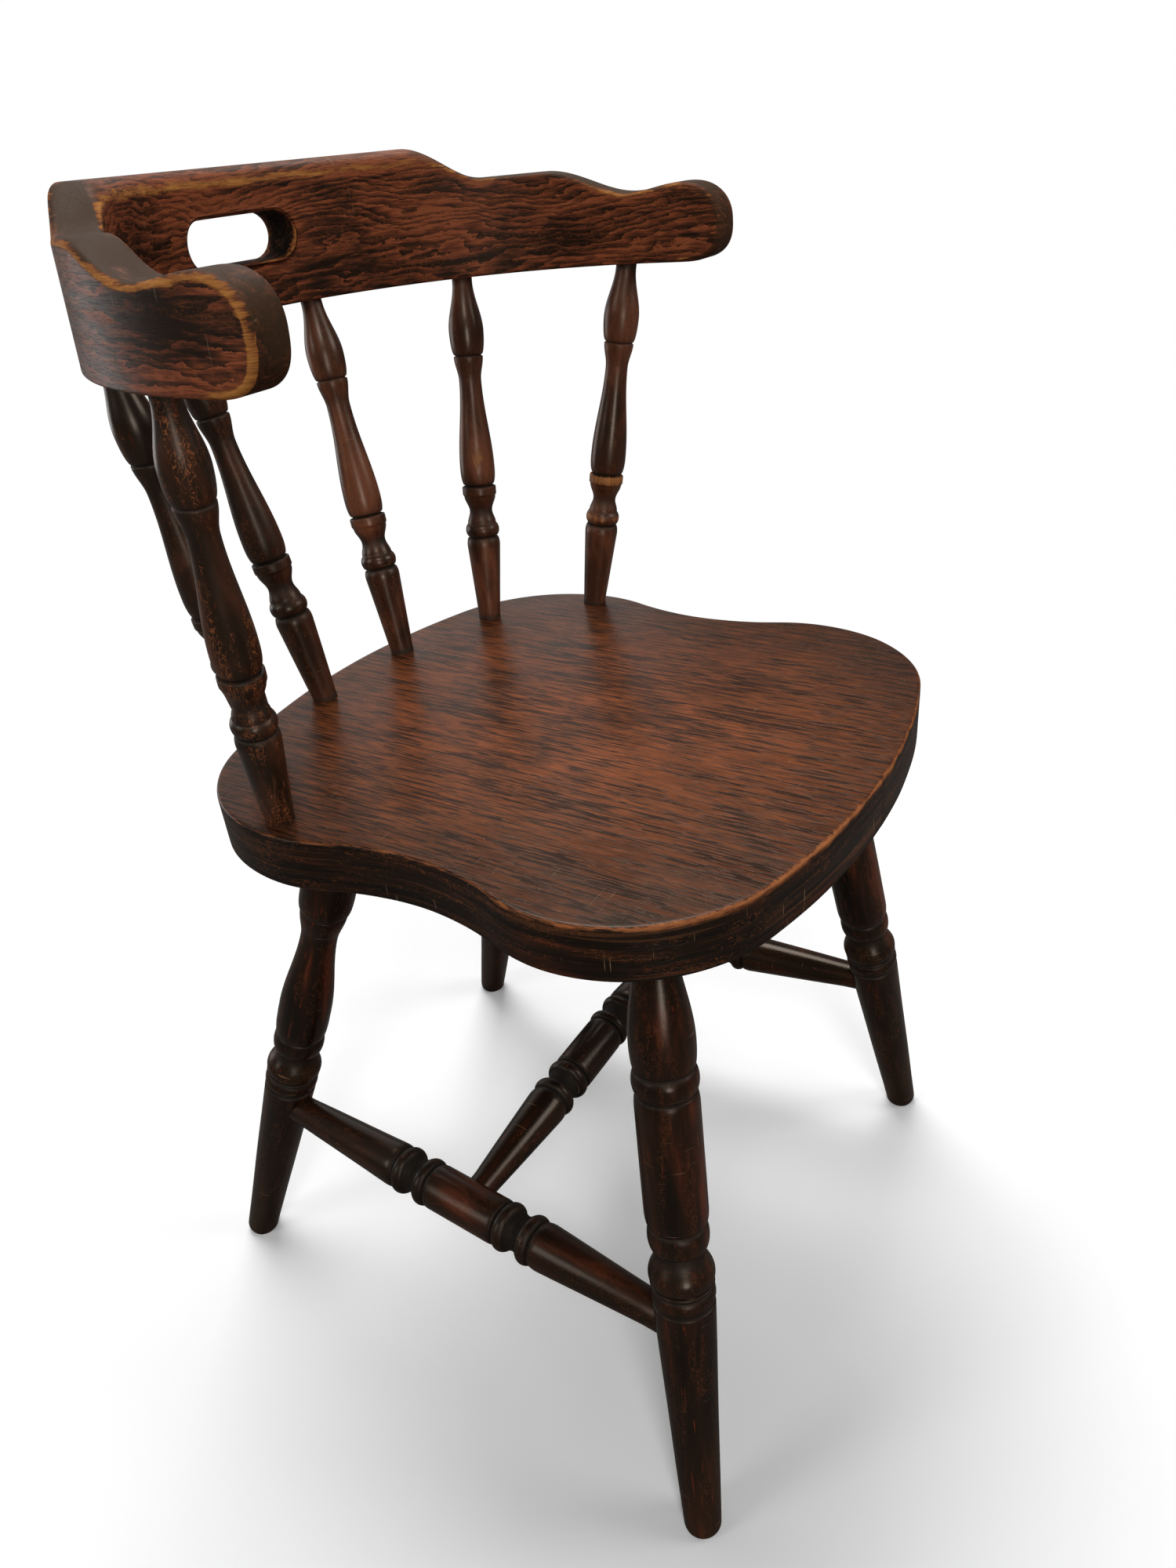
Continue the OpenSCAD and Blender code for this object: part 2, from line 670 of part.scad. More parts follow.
seat();
crest_and_arm_rail();
front_leg(LEFT);  // leg_front_left
front_leg(RIGHT);  // leg_front_right
back_leg(LEFT);  // leg_back_left
back_leg(RIGHT);  // leg_back_right
spindle(front_spin, LEFT);  // spindle_front_left
spindle(front_spin, RIGHT);  // spindle_front_right
spindle(mid_spin, LEFT);  // spindle_middle_left
spindle(mid_spin, RIGHT);  // spindle_middle_right
spindle(back_spin, LEFT);  // spindle_back_left
spindle(back_spin, RIGHT);  // spindle_back_right
side_stretcher(LEFT);  // side_stretcher_left
side_stretcher(RIGHT);  // side_stretcher_right
centre_stretcher();
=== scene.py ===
import math
import bmesh
import bpy
import numpy as np
from mathutils import Matrix, Vector


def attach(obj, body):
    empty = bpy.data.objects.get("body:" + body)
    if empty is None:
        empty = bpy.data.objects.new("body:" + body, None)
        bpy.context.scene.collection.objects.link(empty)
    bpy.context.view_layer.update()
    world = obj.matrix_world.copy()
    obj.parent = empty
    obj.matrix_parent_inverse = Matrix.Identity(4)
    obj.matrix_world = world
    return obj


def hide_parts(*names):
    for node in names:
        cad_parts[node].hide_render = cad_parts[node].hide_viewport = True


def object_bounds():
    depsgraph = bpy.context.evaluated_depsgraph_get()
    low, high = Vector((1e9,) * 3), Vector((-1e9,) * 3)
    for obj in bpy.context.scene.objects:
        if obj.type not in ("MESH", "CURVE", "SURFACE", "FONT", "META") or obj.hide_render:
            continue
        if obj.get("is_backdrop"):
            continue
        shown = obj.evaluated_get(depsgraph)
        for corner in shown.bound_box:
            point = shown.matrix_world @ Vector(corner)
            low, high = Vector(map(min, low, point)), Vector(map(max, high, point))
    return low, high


# Looks of the captain's chair: every wooden piece is rebuilt, denser and with worn
# edges, from the same sizes as the CAD part. Lengths are millimetres until to_frame().
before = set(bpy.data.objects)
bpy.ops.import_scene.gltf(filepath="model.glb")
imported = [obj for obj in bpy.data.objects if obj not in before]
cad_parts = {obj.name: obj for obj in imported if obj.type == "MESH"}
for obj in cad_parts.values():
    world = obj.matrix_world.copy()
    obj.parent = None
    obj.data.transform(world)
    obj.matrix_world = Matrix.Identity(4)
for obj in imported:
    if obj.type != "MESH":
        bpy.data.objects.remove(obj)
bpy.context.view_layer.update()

MM = 0.001
LEFT, RIGHT = 1, -1

# ---- Sizes of the part ----
SEAT_H, SEAT_T = 450.0, 33.0
SEAT_FRONT, SEAT_BACK = 208.0, 195.0
CORNER, CORNER_R = (95.0, -99.0), 96.0
LOBE, LOBE_R = (90.0, 80.0), 101.0
WAIST_R = 166.0
CREST_Z = SEAT_H + 241.0
RAIL_R, RAIL_CENTRE_Y, ARM_LEN = 206.0, 12.5, 35.5
RAIL_T = 24.0
LEAN = math.tan(math.radians(3.0))
CREST_H, SHOULDER_H, DIP_H, HUMP_H = 80.0, 59.0, 43.0, 47.0
CREST_LEN, FALL_LEN, SHOULDER_LEN, DIP_BACK = 270.0, 55.0, 42.0, 38.0
CREST_FLARE, FLARE_FROM = 2.5, 0.6
NOSE_LEN, NOSE_THIN = 28.0, 1.5
TOP_CURVE, BOTTOM_CURVE = 2.2, 2.7
ROLL_R, EDGE_R, ROLL_FADE = 11.0, 3.5, 40.0
SLOT_LEN, SLOT_H, SLOT_RISE = 86.0, 26.5, 27.5
FRONT_FOOT, FRONT_TOP = (203.0, -179.0), (123.0, -124.0)
BACK_FOOT, BACK_TOP = (169.0, 249.0), (99.0, 110.0)
FOOT_D, TAPER_D, TAPER_LEN = 24.0, 38.0, 177.0
COLLAR_D, COLLAR_LEN, COLLAR_LOW, COLLAR_RING = 40.0, 37.0, 12.0, 3.0
LEG_BEAD_D, LEG_BEAD_LEN, LEG_WAIST_D = 36.8, 16.0, 28.5
LEG_VASE_D, LEG_GROOVE, LEG_TOP_LEN = 37.8, 1.7, 94.0
LEG_NECK_D, BACK_NECK_D = 24.0, 25.5
SPINDLE_FOOT_D, SPINDLE_HEAD_D, SPINDLE_D = 16.8, 14.0, 25.8
SPINDLE_BEAD_D, SPINDLE_NECK_D = 25.2, 17.0
SPINDLE_FOOT, SPINDLE_BEAD, SPINDLE_BULB = 63.0, 38.0, 51.0
BACK_SPIN, MID_SPIN, FRONT_SPIN = (42.0, 172.0), (120.0, 147.0), (175.0, 84.0)
BACK_HEAD_A, MID_HEAD_A, FRONT_HEAD_A = 16.0, 46.5, 79.0
FRONT_STRETCH_H, BACK_STRETCH_H, SIDE_SHIFT = 151.0, 145.0, 7.0
STRETCH_END_D, STRETCH_D, STRETCH_BEAD_D, STRETCH_COVE_D = 21.6, 31.2, 33.2, 24.4
STRETCH_BEAD, SIDE_BEADS, CENTRE_BEADS = 9.0, (36.0, 56.0), (31.0, 51.0)
CENTRE_TENON_D, PLAIN_RUN, TENON_STOP = 20.0, 5.0, 4.0
QUIRK = 0.5
# How deep the turned pieces reach into the seat and the crest here
SUNK = 8.0

SEAT_UNDER = SEAT_H - SEAT_T


def vec(*p):
    return np.array(p, float)


def on_side(p, side):
    return vec(side * p[0], p[1], p[2])


front_foot, front_top = vec(*FRONT_FOOT, 0), vec(*FRONT_TOP, SEAT_UNDER)
back_foot, back_top = vec(*BACK_FOOT, 0), vec(*BACK_TOP, SEAT_UNDER)
stretch_front = front_foot + (front_top - front_foot) * FRONT_STRETCH_H / SEAT_UNDER
stretch_back = back_foot + (back_top - back_foot) * BACK_STRETCH_H / SEAT_UNDER
side_len = np.linalg.norm(stretch_front - stretch_back)
side_mid = stretch_back + (stretch_front - stretch_back) * (0.5 + SIDE_SHIFT / side_len)
foot_reach = (FOOT_D / 2 * np.linalg.norm(back_top - back_foot)
              / np.hypot(back_top[0] - back_foot[0], SEAT_UNDER))
ORIGIN_Y = (BACK_FOOT[1] + foot_reach - SEAT_FRONT) / 2


def to_frame(points):
    """Seat-centred millimetres to the frame's metres."""
    return (np.asarray(points, float) - vec(0, ORIGIN_Y, 0)) * MM


def smooth(x):
    x = np.clip(x, 0, 1)
    return x * x * (3 - 2 * x)


def bump_at(x, centre, width):
    """A soft bump of height 1 at centre."""
    return np.exp(-((x - centre) / width) ** 2)


# ---- Curves for the turnings: points are (radius, height along the axis) ----
FINE = 14


def ease(u):
    return (1 - math.cos(math.pi * u)) / 2


def flow(a, b, n=FINE):
    return [(a[0] + (b[0] - a[0]) * ease(i / n), a[1] + (b[1] - a[1]) * i / n) for i in range(n + 1)]


def shoulder(a, b):
    turns = [math.pi / 2 * i / FINE for i in range(FINE + 1)]
    return [(b[0] + (a[0] - b[0]) * math.cos(t), a[1] + (b[1] - a[1]) * math.sin(t)) for t in turns]


def shoulder_out(a, b):
    turns = [math.pi / 2 * i / FINE for i in range(FINE + 1)]
    return [(a[0] + (b[0] - a[0]) * math.sin(t), b[1] + (a[1] - b[1]) * math.cos(t)) for t in turns]


def bead(z0, z1, core, r):
    turns = [math.pi * i / FINE for i in range(FINE + 1)]
    return [(core + (r - core) * math.sin(t) ** 1.5,
             (z0 + z1) / 2 - (z1 - z0) / 2 * math.cos(t)) for t in turns]


LEG_LOWER = TAPER_LEN + COLLAR_LEN + 2 + LEG_BEAD_LEN + QUIRK


def leg_lower():
    r, t, c, waist, b = FOOT_D / 2, TAPER_D / 2, COLLAR_D / 2, LEG_WAIST_D / 2, LEG_BEAD_D / 2
    core, low = t - LEG_GROOVE, TAPER_LEN + COLLAR_LOW
    ring, top = low + COLLAR_RING, TAPER_LEN + COLLAR_LEN
    return (shoulder_out((r - 7, -2.5), (r, 4.5))
            + [(t, TAPER_LEN - 2 * QUIRK), (core, TAPER_LEN + QUIRK)]
            + bead(TAPER_LEN + 2 * QUIRK, low, core, c - QUIRK)
            + bead(low + QUIRK, ring, core + QUIRK, c - QUIRK)
            + shoulder_out((c - LEG_GROOVE, ring + QUIRK), (c, ring + 6))
            + flow((c, ring + 6), (waist, top))
            + [(waist, top + 2)]
            + bead(top + 2 + QUIRK, LEG_LOWER - QUIRK, b - LEG_GROOVE, b))


def leg_upper(length):
    r, z = LEG_VASE_D / 2, length - LEG_TOP_LEN
    return (shoulder_out((r - LEG_GROOVE, z), (r, z + 15))
            + flow((r, z + 15), (LEG_NECK_D / 2, length - 20), 20)
            + [(LEG_NECK_D / 2, length + SUNK)])


def front_middle(length):
    r, z = LEG_VASE_D / 2, length - LEG_TOP_LEN - 15 - QUIRK
    return (shoulder_out((r - LEG_GROOVE, LEG_LOWER), (r, LEG_LOWER + 9))
            + shoulder((r, z - 9), (r - LEG_GROOVE, z))
            + bead(z + QUIRK, z + 15, r - LEG_GROOVE, r + QUIRK))


def back_middle(length):
    r, n, z = LEG_VASE_D / 2, BACK_NECK_D / 2, length - LEG_TOP_LEN
    lip, wide = r - 2.4, LEG_LOWER + 25
    return (shoulder_out((r - LEG_GROOVE, LEG_LOWER), (r, LEG_LOWER + 15))
            + flow((r, wide), (n, z - 26), 20)
            + flow((n, z - 26), (lip, z - 2))
            + [(lip - LEG_GROOVE, z - QUIRK)])


def stretcher_half(beads, plain, tip, end_r):
    w, r, b, c = STRETCH_BEAD / 2, STRETCH_D / 2, STRETCH_BEAD_D / 2, STRETCH_COVE_D / 2
    core, cove = r - 1.4, (beads[0] + beads[1]) / 2
    first, last = beads[0] - w - 2 * QUIRK, beads[1] + w + 2 * QUIRK
    return ([(r, 0)]
            + shoulder((r, first - 4), (core, first))
            + bead(beads[0] - w, beads[0] + w, core, b)
            + flow((c + 1, beads[0] + w + QUIRK), (c, cove), 6)
            + flow((c, cove + QUIRK), (c + 1, beads[1] - w - QUIRK), 6)
            + bead(beads[1] - w, beads[1] + w, core, b)
            + shoulder_out((core, last), (r, last + 6))
            + [(end_r, plain), (end_r, tip)])


def both_ways(back, front):
    return [(r, -z) for r, z in reversed(back[1:])] + front


def spindle_profile(length):
    f, h, r, b = SPINDLE_FOOT_D / 2, SPINDLE_HEAD_D / 2, SPINDLE_D / 2, SPINDLE_BEAD_D / 2
    n, core, lip = SPINDLE_NECK_D / 2, b - 2, r - 2.4
    z1, z2, z3 = SPINDLE_FOOT, SPINDLE_FOOT + SPINDLE_BEAD, length - SPINDLE_BULB
    neck = (z1 + z2) / 2
    return ([(f, -SUNK), (f, 2)]
            + shoulder((r - QUIRK, z1 - 6), (core, z1))
            + bead(z1 + QUIRK, z1 + 10, core, b)
            + flow((core, z1 + 10 + QUIRK), (n, neck))
            + flow((n, neck + QUIRK), (b - 0.8, z2 - 7.3))
            + [(b, z2 - 6.5), (b, z2 - 2 * QUIRK), (b - 0.8, z2 - QUIRK), (core, z2)]
            + shoulder_out((core, z2 + QUIRK), (r, z2 + 11))
            + flow((r, z2 + 11), (n - QUIRK, z3 - 17), 20)
            + flow((n - QUIRK, z3 - 17), (lip, z3 - 2 * QUIRK))
            + [(lip - 0.8, z3 - QUIRK)]
            + shoulder_out((lip - 0.8, z3), (r - QUIRK, z3 + 16))
            + flow((r - QUIRK, z3 + 16), (h, length - 3), 20)
            + [(h, length + SUNK)])


GROOVE_CUT = 1.2


def measured(points):
    """A line's points without repeats, and the run from its start to each."""
    p = np.array(points, float)
    run = np.concatenate([[0], np.cumsum(np.hypot(*np.diff(p, axis=0).T))])
    keep = np.concatenate([[True], np.diff(run) > 1e-6])
    return p[keep], run[keep]


def points_at(at, p, run):
    return np.stack([np.interp(at, run, p[:, k]) for k in (0, 1)], 1)


def softened(profile, step=0.4, soft=0.3, chord=0.02, longest=4.0):
    """The profile with its corners eased as varnish leaves them, then as few points as keep its shape.
    Returns the points and, at each, how far it lies in a groove (+) or stands proud (-), and the
    same spread out along the piece, for the darkening beside grooves: grimy, and partly painted shade."""
    p, run = measured(profile)
    n = max(8, int(run[-1] / step))
    fine = points_at(np.linspace(0, run[-1], n), p, run)

    def blurred(v, sigma):
        k = int(4 * sigma / step) + 1
        w = np.exp(-0.5 * (np.arange(-k, k + 1) * step / sigma) ** 2)
        return np.convolve(np.pad(v, k, mode="edge"), w / w.sum(), mode="valid")

    eased = np.stack([blurred(fine[:, 0], soft), fine[:, 1]], 1)
    sunk = blurred(eased[:, 0], 3.0) - eased[:, 0]
    grime_and_shade = blurred(np.clip(sunk, 0, None), 1.7)
    eased[:, 0] -= GROOVE_CUT * np.clip((sunk - 0.4) / 0.8, 0, 1)
    chosen, stack = {0, n - 1}, [(0, n - 1)]
    while stack:
        i, j = stack.pop()
        if j - i < 2:
            continue
        a, d = eased[i], eased[j] - eased[i]
        off = np.abs((eased[i + 1:j] - a) @ vec(-d[1], d[0])) / max(np.hypot(*d), 1e-9)
        m = int(off.argmax())
        if off[m] > chord or np.hypot(*d) > longest:
            m = i + 1 + m if off[m] > chord else (i + j) // 2
            chosen.add(m)
            stack += [(i, m), (m, j)]
    chosen = sorted(chosen)
    return eased[chosen], sunk[chosen], grime_and_shade[chosen]


# ---- Meshes ----
# The values each point carries for its material
LOOKS = ("wear", "dirt_and_shade", "dust", "tone", "fleck")


def add_mesh(name, points, faces, values, materials, face_materials=None):
    """A smooth mesh object from points in the frame's metres. Each entry of values becomes a
    float or vector attribute."""
    mesh = bpy.data.meshes.new(name)
    mesh.from_pydata(np.asarray(points).tolist(), [], faces)
    mesh.polygons.foreach_set("use_smooth", [True] * len(mesh.polygons))
    for key, v in values.items():
        v = np.asarray(v, np.float32)
        kind = "FLOAT_VECTOR" if v.ndim == 2 else "FLOAT"
        layer = mesh.attributes.new(key, kind, "POINT")
        layer.data.foreach_set("vector" if v.ndim == 2 else "value", v.ravel())
    for m in materials:
        mesh.materials.append(m)
    if face_materials is not None:
        mesh.polygons.foreach_set("material_index", face_materials)
    mesh.update()
    piece = bpy.data.objects.new(name, mesh)
    bpy.context.scene.collection.objects.link(piece)
    return piece


def ring_faces(rows, cols):
    """Quads between closed rings of points, then a face over each end."""
    index = np.arange(rows * cols).reshape(rows, cols)
    a, b = index[:-1], index[1:]
    quads = np.stack([a, np.roll(a, -1, 1), np.roll(b, -1, 1), b], -1).reshape(-1, 4).tolist()
    return quads + [index[0, ::-1].tolist(), index[-1].tolist()]


def settle(piece, node):
    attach(piece, "root")
    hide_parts(node)


def turned_piece(node, profile, start, end, material, segments, looks, seed):
    """A piece turned about the line from start to end. looks(z, sunk, grime_and_shade, around) gives
    its values for each name in LOOKS."""
    prof, sunk, grime_and_shade = softened(profile)
    axis = (end - start) / np.linalg.norm(end - start)
    spin = np.array(Vector((0, 0, 1)).rotation_difference(Vector(axis)).to_matrix())
    theta = np.linspace(0, 2 * math.pi, segments, endpoint=False)
    r, z = prof[:, :1], prof[:, 1:] * np.ones((1, segments))
    wave = (np.sin(3 * theta + seed + z / 31) + np.sin(2 * theta - 2 * seed + z / 17)) * 0.06
    x, y = (r - 0.06 + wave) * np.cos(theta), (r - 0.06 + wave) * np.sin(theta)
    local = np.stack([x, y, z], -1).reshape(-1, 3)
    points = local @ spin.T + start
    if points[:, 2].min() < 0:
        points = points - np.minimum(points[:, 2], 0)[:, None] * axis / axis[2]
    faces = ring_faces(len(prof), segments)
    shift = np.random.default_rng(seed).uniform(0, 3, 3)
    grain = local[:, [2, 0, 1]] * MM + shift
    values = looks(z.reshape(-1), np.repeat(sunk, segments), np.repeat(grime_and_shade, segments),
                   np.tile(theta, len(prof)))
    values["grain"] = grain
    settle(add_mesh(node + "_turned", to_frame(points), faces, values, [material]), node)


def turned_looks(patches=(), worn=0.0, fleck=0.25, tone=0.0, dust=0.0, streaks=()):
    """Grooves are dirty and hold painted shade, and proud edges wear. patches are (attribute, height,
    reach, amount), and streaks are (attribute, direction in degrees, its reach, height, its reach, amount)."""
    def looks(z, sunk, grime_and_shade, around):
        v = {"wear": -0.75 + worn + 0.9 * np.clip(-sunk / 1.6, 0, 1),
             # Grooves and the band beside them darken: partly dirt, partly painted shade in the recesses
             "dirt_and_shade": np.maximum(np.clip(sunk / 0.9, 0, 1), np.clip(1.8 * grime_and_shade, 0, 0.92)),
             "dust": np.full_like(z, dust),
             "tone": np.full_like(z, tone),
             "fleck": np.full_like(z, fleck)}
        for key, centre, reach, amount in patches:
            v[key] = v[key] + amount * bump_at(z, centre, reach)
        for key, aim, spread, centre, reach, amount in streaks:
            off = (np.degrees(around) - aim + 180) % 360 - 180
            v[key] = v[key] + amount * bump_at(off, 0, spread) * bump_at(z, centre, reach)
        return v
    return looks


# ---- Materials ----


def srgb(*c):
    """Colour written 0 to 255 as a display shows it."""
    return tuple((x / 255 / 12.92) if x <= 10 else ((x / 255 + 0.055) / 1.055) ** 2.4 for x in c) + (1.0,)


class Nodes:
    """Short calls for building one material's nodes."""

    def __init__(self, name):
        self.material = bpy.data.materials.new(name)
        self.material.use_nodes = True
        self.tree = self.material.node_tree
        self.tree.nodes.clear()

    def put(self, kind, settings=None, inputs=None):
        node = self.tree.nodes.new(kind)
        for key, value in (settings or {}).items():
            setattr(node, key, value)
        for key, value in (inputs or {}).items():
            if isinstance(value, bpy.types.NodeSocket):
                self.tree.links.new(value, node.inputs[key])
            else:
                node.inputs[key].default_value = value
        return node

    def attribute(self, name, output="Fac"):
        return self.put("ShaderNodeAttribute", {"attribute_name": name}).outputs[output]

    def scaled(self, vector, size, turn=(0, 0, 0)):
        """Coordinates in units of size, which is in metres along, across and through the grain."""
        return self.put("ShaderNodeMapping", {"vector_type": "POINT"},
                        {"Vector": vector, "Rotation": turn, "Scale": [1 / s for s in size]}).outputs[0]

    def noise(self, vector, size, detail=4.0, rough=0.55, warp=0.0, turn=(0, 0, 0)):
        return self.put("ShaderNodeTexNoise", None,
                        {"Vector": self.scaled(vector, size, turn), "Scale": 1.0, "Detail": detail,
                         "Roughness": rough, "Distortion": warp}).outputs["Fac"]

    def remap(self, value, low, high, to_low=0.0, to_high=1.0, kind="SMOOTHSTEP"):
        return self.put("ShaderNodeMapRange", {"interpolation_type": kind},
                        {"Value": value, "From Min": low, "From Max": high,
                         "To Min": to_low, "To Max": to_high}).outputs[0]

    def calc(self, operation, a, b=0.0, clamp=False):
        node = self.put("ShaderNodeMath", {"operation": operation, "use_clamp": clamp}, {0: a})
        if isinstance(b, bpy.types.NodeSocket):
            self.tree.links.new(b, node.inputs[1])
        else:
            node.inputs[1].default_value = b
        return node.outputs[0]

    def sway(self, value, noise, amount, low=0.3, high=0.7):
        """value with from -amount to amount added as noise goes from low to high."""
        return self.calc("ADD", value, self.remap(noise, low, high, -amount, amount, "LINEAR"))

    def mix(self, factor, a, b):
        return self.put("ShaderNodeMix", {"data_type": "RGBA", "clamp_factor": True},
                        {0: factor, 6: a, 7: b}).outputs[2]

    def length(self, vector):
        return self.put("ShaderNodeVectorMath", {"operation": "LENGTH"}, {0: vector}).outputs["Value"]

    def ramp(self, value, stops):
        node = self.put("ShaderNodeValToRGB", None, {0: value})
        elements = node.color_ramp.elements
        while len(elements) < len(stops):
            elements.new(0.5)
        for element, (place, colour) in zip(elements, stops):
            element.position = place
            element.color = colour
        return node.outputs[0]

    def finish(self, colour, roughness, height, relief, specular):
        bump = self.put("ShaderNodeBump", None,
                        {"Strength": relief, "Distance": BUMP_DEPTH, "Height": height})
        shader = self.put("ShaderNodeBsdfPrincipled", None,
                          {"Base Color": colour, "Roughness": roughness, "Normal": bump.outputs[0],
                           "IOR": VARNISH_IOR, "Specular IOR Level": specular,
                           "Specular Tint": VARNISH_TINT})
        out = self.put("ShaderNodeOutputMaterial")
        self.tree.links.new(shader.outputs[0], out.inputs[0])
        return self.material


VARNISH_IOR, VARNISH_TINT, BUMP_DEPTH = 1.46, (1.0, 0.82, 0.66, 1), 0.0003
# Near black: dirt, and the painted shade in grooves, the crest's slot and the spindles' joints
NEAR_BLACK = srgb(11, 8, 6)
DUST = srgb(60, 42, 28)
OCHRE_DEEP = srgb(108, 57, 30)
OCHRE = srgb(181, 121, 60)
FLECK = srgb(146, 84, 48)
RED = srgb(128, 46, 27)


def stained_wood(name, stops, figure, blotch, pores, jag=0.9, figure_gain=1.0, blotch_gain=0.6,
                 pore_dark=0.55, rough=0.36, specular=0.32, coords="grain", lines=None,
                 scratch=0.5, rings=None, dashes=None, streak=0.0, wear_and_reflection_rim=None, relief=0.5,
                 bare=(OCHRE_DEEP, OCHRE)):
    """Dark stained and varnished wood: figure, blotches and pores along the grain, dirty grooves with
    painted shade in them, dust on top, flecks, scratches, and bare ochre wood where the edges wear.
    figure, blotch, pores, lines, dashes and wear_and_reflection_rim are sizes in metres along, across
    and through the grain. rings is a spacing in metres and a strength."""
    n = Nodes(name)
    grain = n.attribute(coords, "Vector")
    fig = n.noise(grain, figure, 6.0, 0.62, 0.35)
    blot = n.noise(grain, blotch, 3.0, 0.5, 0.6)
    pore = n.noise(grain, pores, 3.0, 0.6)
    fine = n.noise(grain, (0.004, 0.0004, 0.0004), 2.0, 0.5)
    level = n.sway(0.5, fig, 0.5 * figure_gain)
    if rings:
        period, ring_gain = rings
        across = n.put("ShaderNodeSeparateXYZ", None, {0: grain}).outputs[1]
        slow = n.noise(grain, (0.14, 0.04, 0.04), 2.0, 0.5)
        quick = n.noise(grain, (0.016, 0.005, 0.005), 4.0, 0.6)
        shifted = n.sway(n.sway(across, slow, 0.03, 0.0, 1.0), quick, 0.005, 0.0, 1.0)
        saw = n.calc("FRACT", n.calc("DIVIDE", shifted, period))
        level = n.sway(level, saw, 0.5 * ring_gain, 0.0, 1.0)
    level = n.sway(level, blot, 0.5 * blotch_gain)
    # Paler middle and darker rim on the seat: partly wear from sitting, partly a painted reflection, the dark
    # rim standing in for the spindles' reflections
    if wear_and_reflection_rim:
        away = n.sway(n.length(n.scaled(grain, wear_and_reflection_rim)), blot, 0.25)
        level = n.calc("ADD", level, n.remap(away, 0.45, 1.25, 0.12, -0.42))
    level = n.calc("ADD", level, n.attribute("tone"), clamp=True)
    colour = n.ramp(level, stops)
    if lines:
        band = n.noise(grain, lines, 2.0, 0.5)
        colour = n.mix(n.remap(band, 0.52, 0.57, 0.0, 0.9), colour, NEAR_BLACK)
        colour = n.mix(n.remap(band, 0.42, 0.36, 0.0, 0.6), colour, srgb(90, 55, 34))
    pore_mask = n.remap(pore, 0.53, 0.66)
    colour = n.mix(n.calc("MULTIPLY", pore_mask, pore_dark), colour, srgb(22, 14, 10))
    colour = n.mix(n.remap(fine, 0.35, 0.7, 0.0, 0.22), colour, srgb(30, 19, 13))
    if dashes:
        dash = n.noise(grain, dashes, 2.0, 0.5)
        dash_field = n.noise(grain, (0.06, 0.025, 0.02), 3.0, 0.6)
        dash = n.calc("ADD", dash, n.remap(dash_field, 0.3, 0.7, -0.07, 0.06, "LINEAR"))
        dash_mask = n.remap(dash, 0.5, 0.56)
        colour = n.mix(n.calc("MULTIPLY", dash_mask, 0.85), colour, srgb(30, 18, 11))
    worm = n.calc("ABSOLUTE", n.calc("SUBTRACT", n.noise(grain, (0.005, 0.0023, 0.0023), 2.0, 0.5, 1.2), 0.5))
    fleck_field = n.noise(grain, (0.045, 0.007, 0.007), 3.0, 0.6)
    fleck = n.calc("MULTIPLY", n.remap(worm, 0.032, 0.012), n.remap(fleck_field, 0.46, 0.6))
    fleck = n.calc("MULTIPLY", fleck, n.attribute("fleck"), clamp=True)
    colour = n.mix(fleck, colour, FLECK)
    if streak:
        red = n.noise(grain, (0.03, 0.0013, 0.0013), 2.0, 0.5, 0.4)
        colour = n.mix(n.remap(red, 0.69, 0.73, 0.0, streak), colour, RED)
    dust_field = n.noise(grain, (0.05, 0.02, 0.02), 5.0, 0.6)
    dust = n.calc("MULTIPLY", n.attribute("dust"), n.remap(dust_field, 0.25, 0.6, 0.35, 1.0), clamp=True)
    colour = n.mix(dust, colour, DUST)
    # Darkening towards near black: dirt, and painted shade in grooves, the slot and the joints
    dirt_and_shade_field = n.noise(grain, (0.006, 0.004, 0.004), 3.0, 0.6)
    dirt_and_shade = n.calc("MULTIPLY", n.attribute("dirt_and_shade"), n.remap(dirt_and_shade_field, 0.3, 0.6, 0.75, 1.0), clamp=True)
    colour = n.mix(dirt_and_shade, colour, NEAR_BLACK)
    ragged = n.noise(grain, (0.018, 0.0024, 0.0024), 5.0, 0.68, 0.3)
    patchy = n.noise(grain, (0.02, 0.01, 0.01), 3.0, 0.55)
    edge = n.sway(n.sway(n.attribute("wear"), ragged, 0.5 * jag), patchy, 0.3)
    worn = n.remap(edge, -0.16, 0.4)
    light = n.sway(n.sway(edge, fine, -0.2), pore, -0.2)
    bare_wood = n.mix(n.remap(light, 0.0, 1.15, kind="LINEAR"), *bare)
    colour = n.mix(n.calc("MULTIPLY", worn, 0.94), colour, bare_wood)
    scuff = n.noise(grain, (0.0009, 0.022, 0.022), 1.0, 0.3, 0.0, (0.3, 0.5, 0.45))
    rare = n.noise(grain, (0.04, 0.03, 0.03), 1.0, 0.4)
    scuff = n.calc("MULTIPLY", n.remap(scuff, 0.735, 0.775), n.remap(rare, 0.5, 0.62))
    colour = n.mix(n.calc("MULTIPLY", scuff, scratch), colour, srgb(150, 118, 88))
    sheen = n.remap(blot, 0.3, 0.7, rough - 0.05, rough + 0.07, "LINEAR")
    roughness = n.calc("ADD", sheen, n.calc("MULTIPLY", worn, 0.2))
    roughness = n.calc("ADD", roughness, n.calc("MULTIPLY", dust, 0.25))
    roughness = n.calc("ADD", roughness, n.calc("MULTIPLY", dirt_and_shade, 0.5), clamp=True)
    height = n.calc("MULTIPLY", dash_mask if dashes else pore_mask, -0.5)
    height = n.calc("ADD", height, n.calc("MULTIPLY", fine, 0.25))
    height = n.calc("SUBTRACT", height, n.calc("MULTIPLY", worn, 0.35))
    height = n.calc("SUBTRACT", height, n.calc("MULTIPLY", scuff, 0.6))
    if lines:
        height = n.calc("SUBTRACT", height, n.remap(band, 0.5, 0.64, 0.0, 0.9))
    return n.finish(colour, roughness, height, relief, specular)


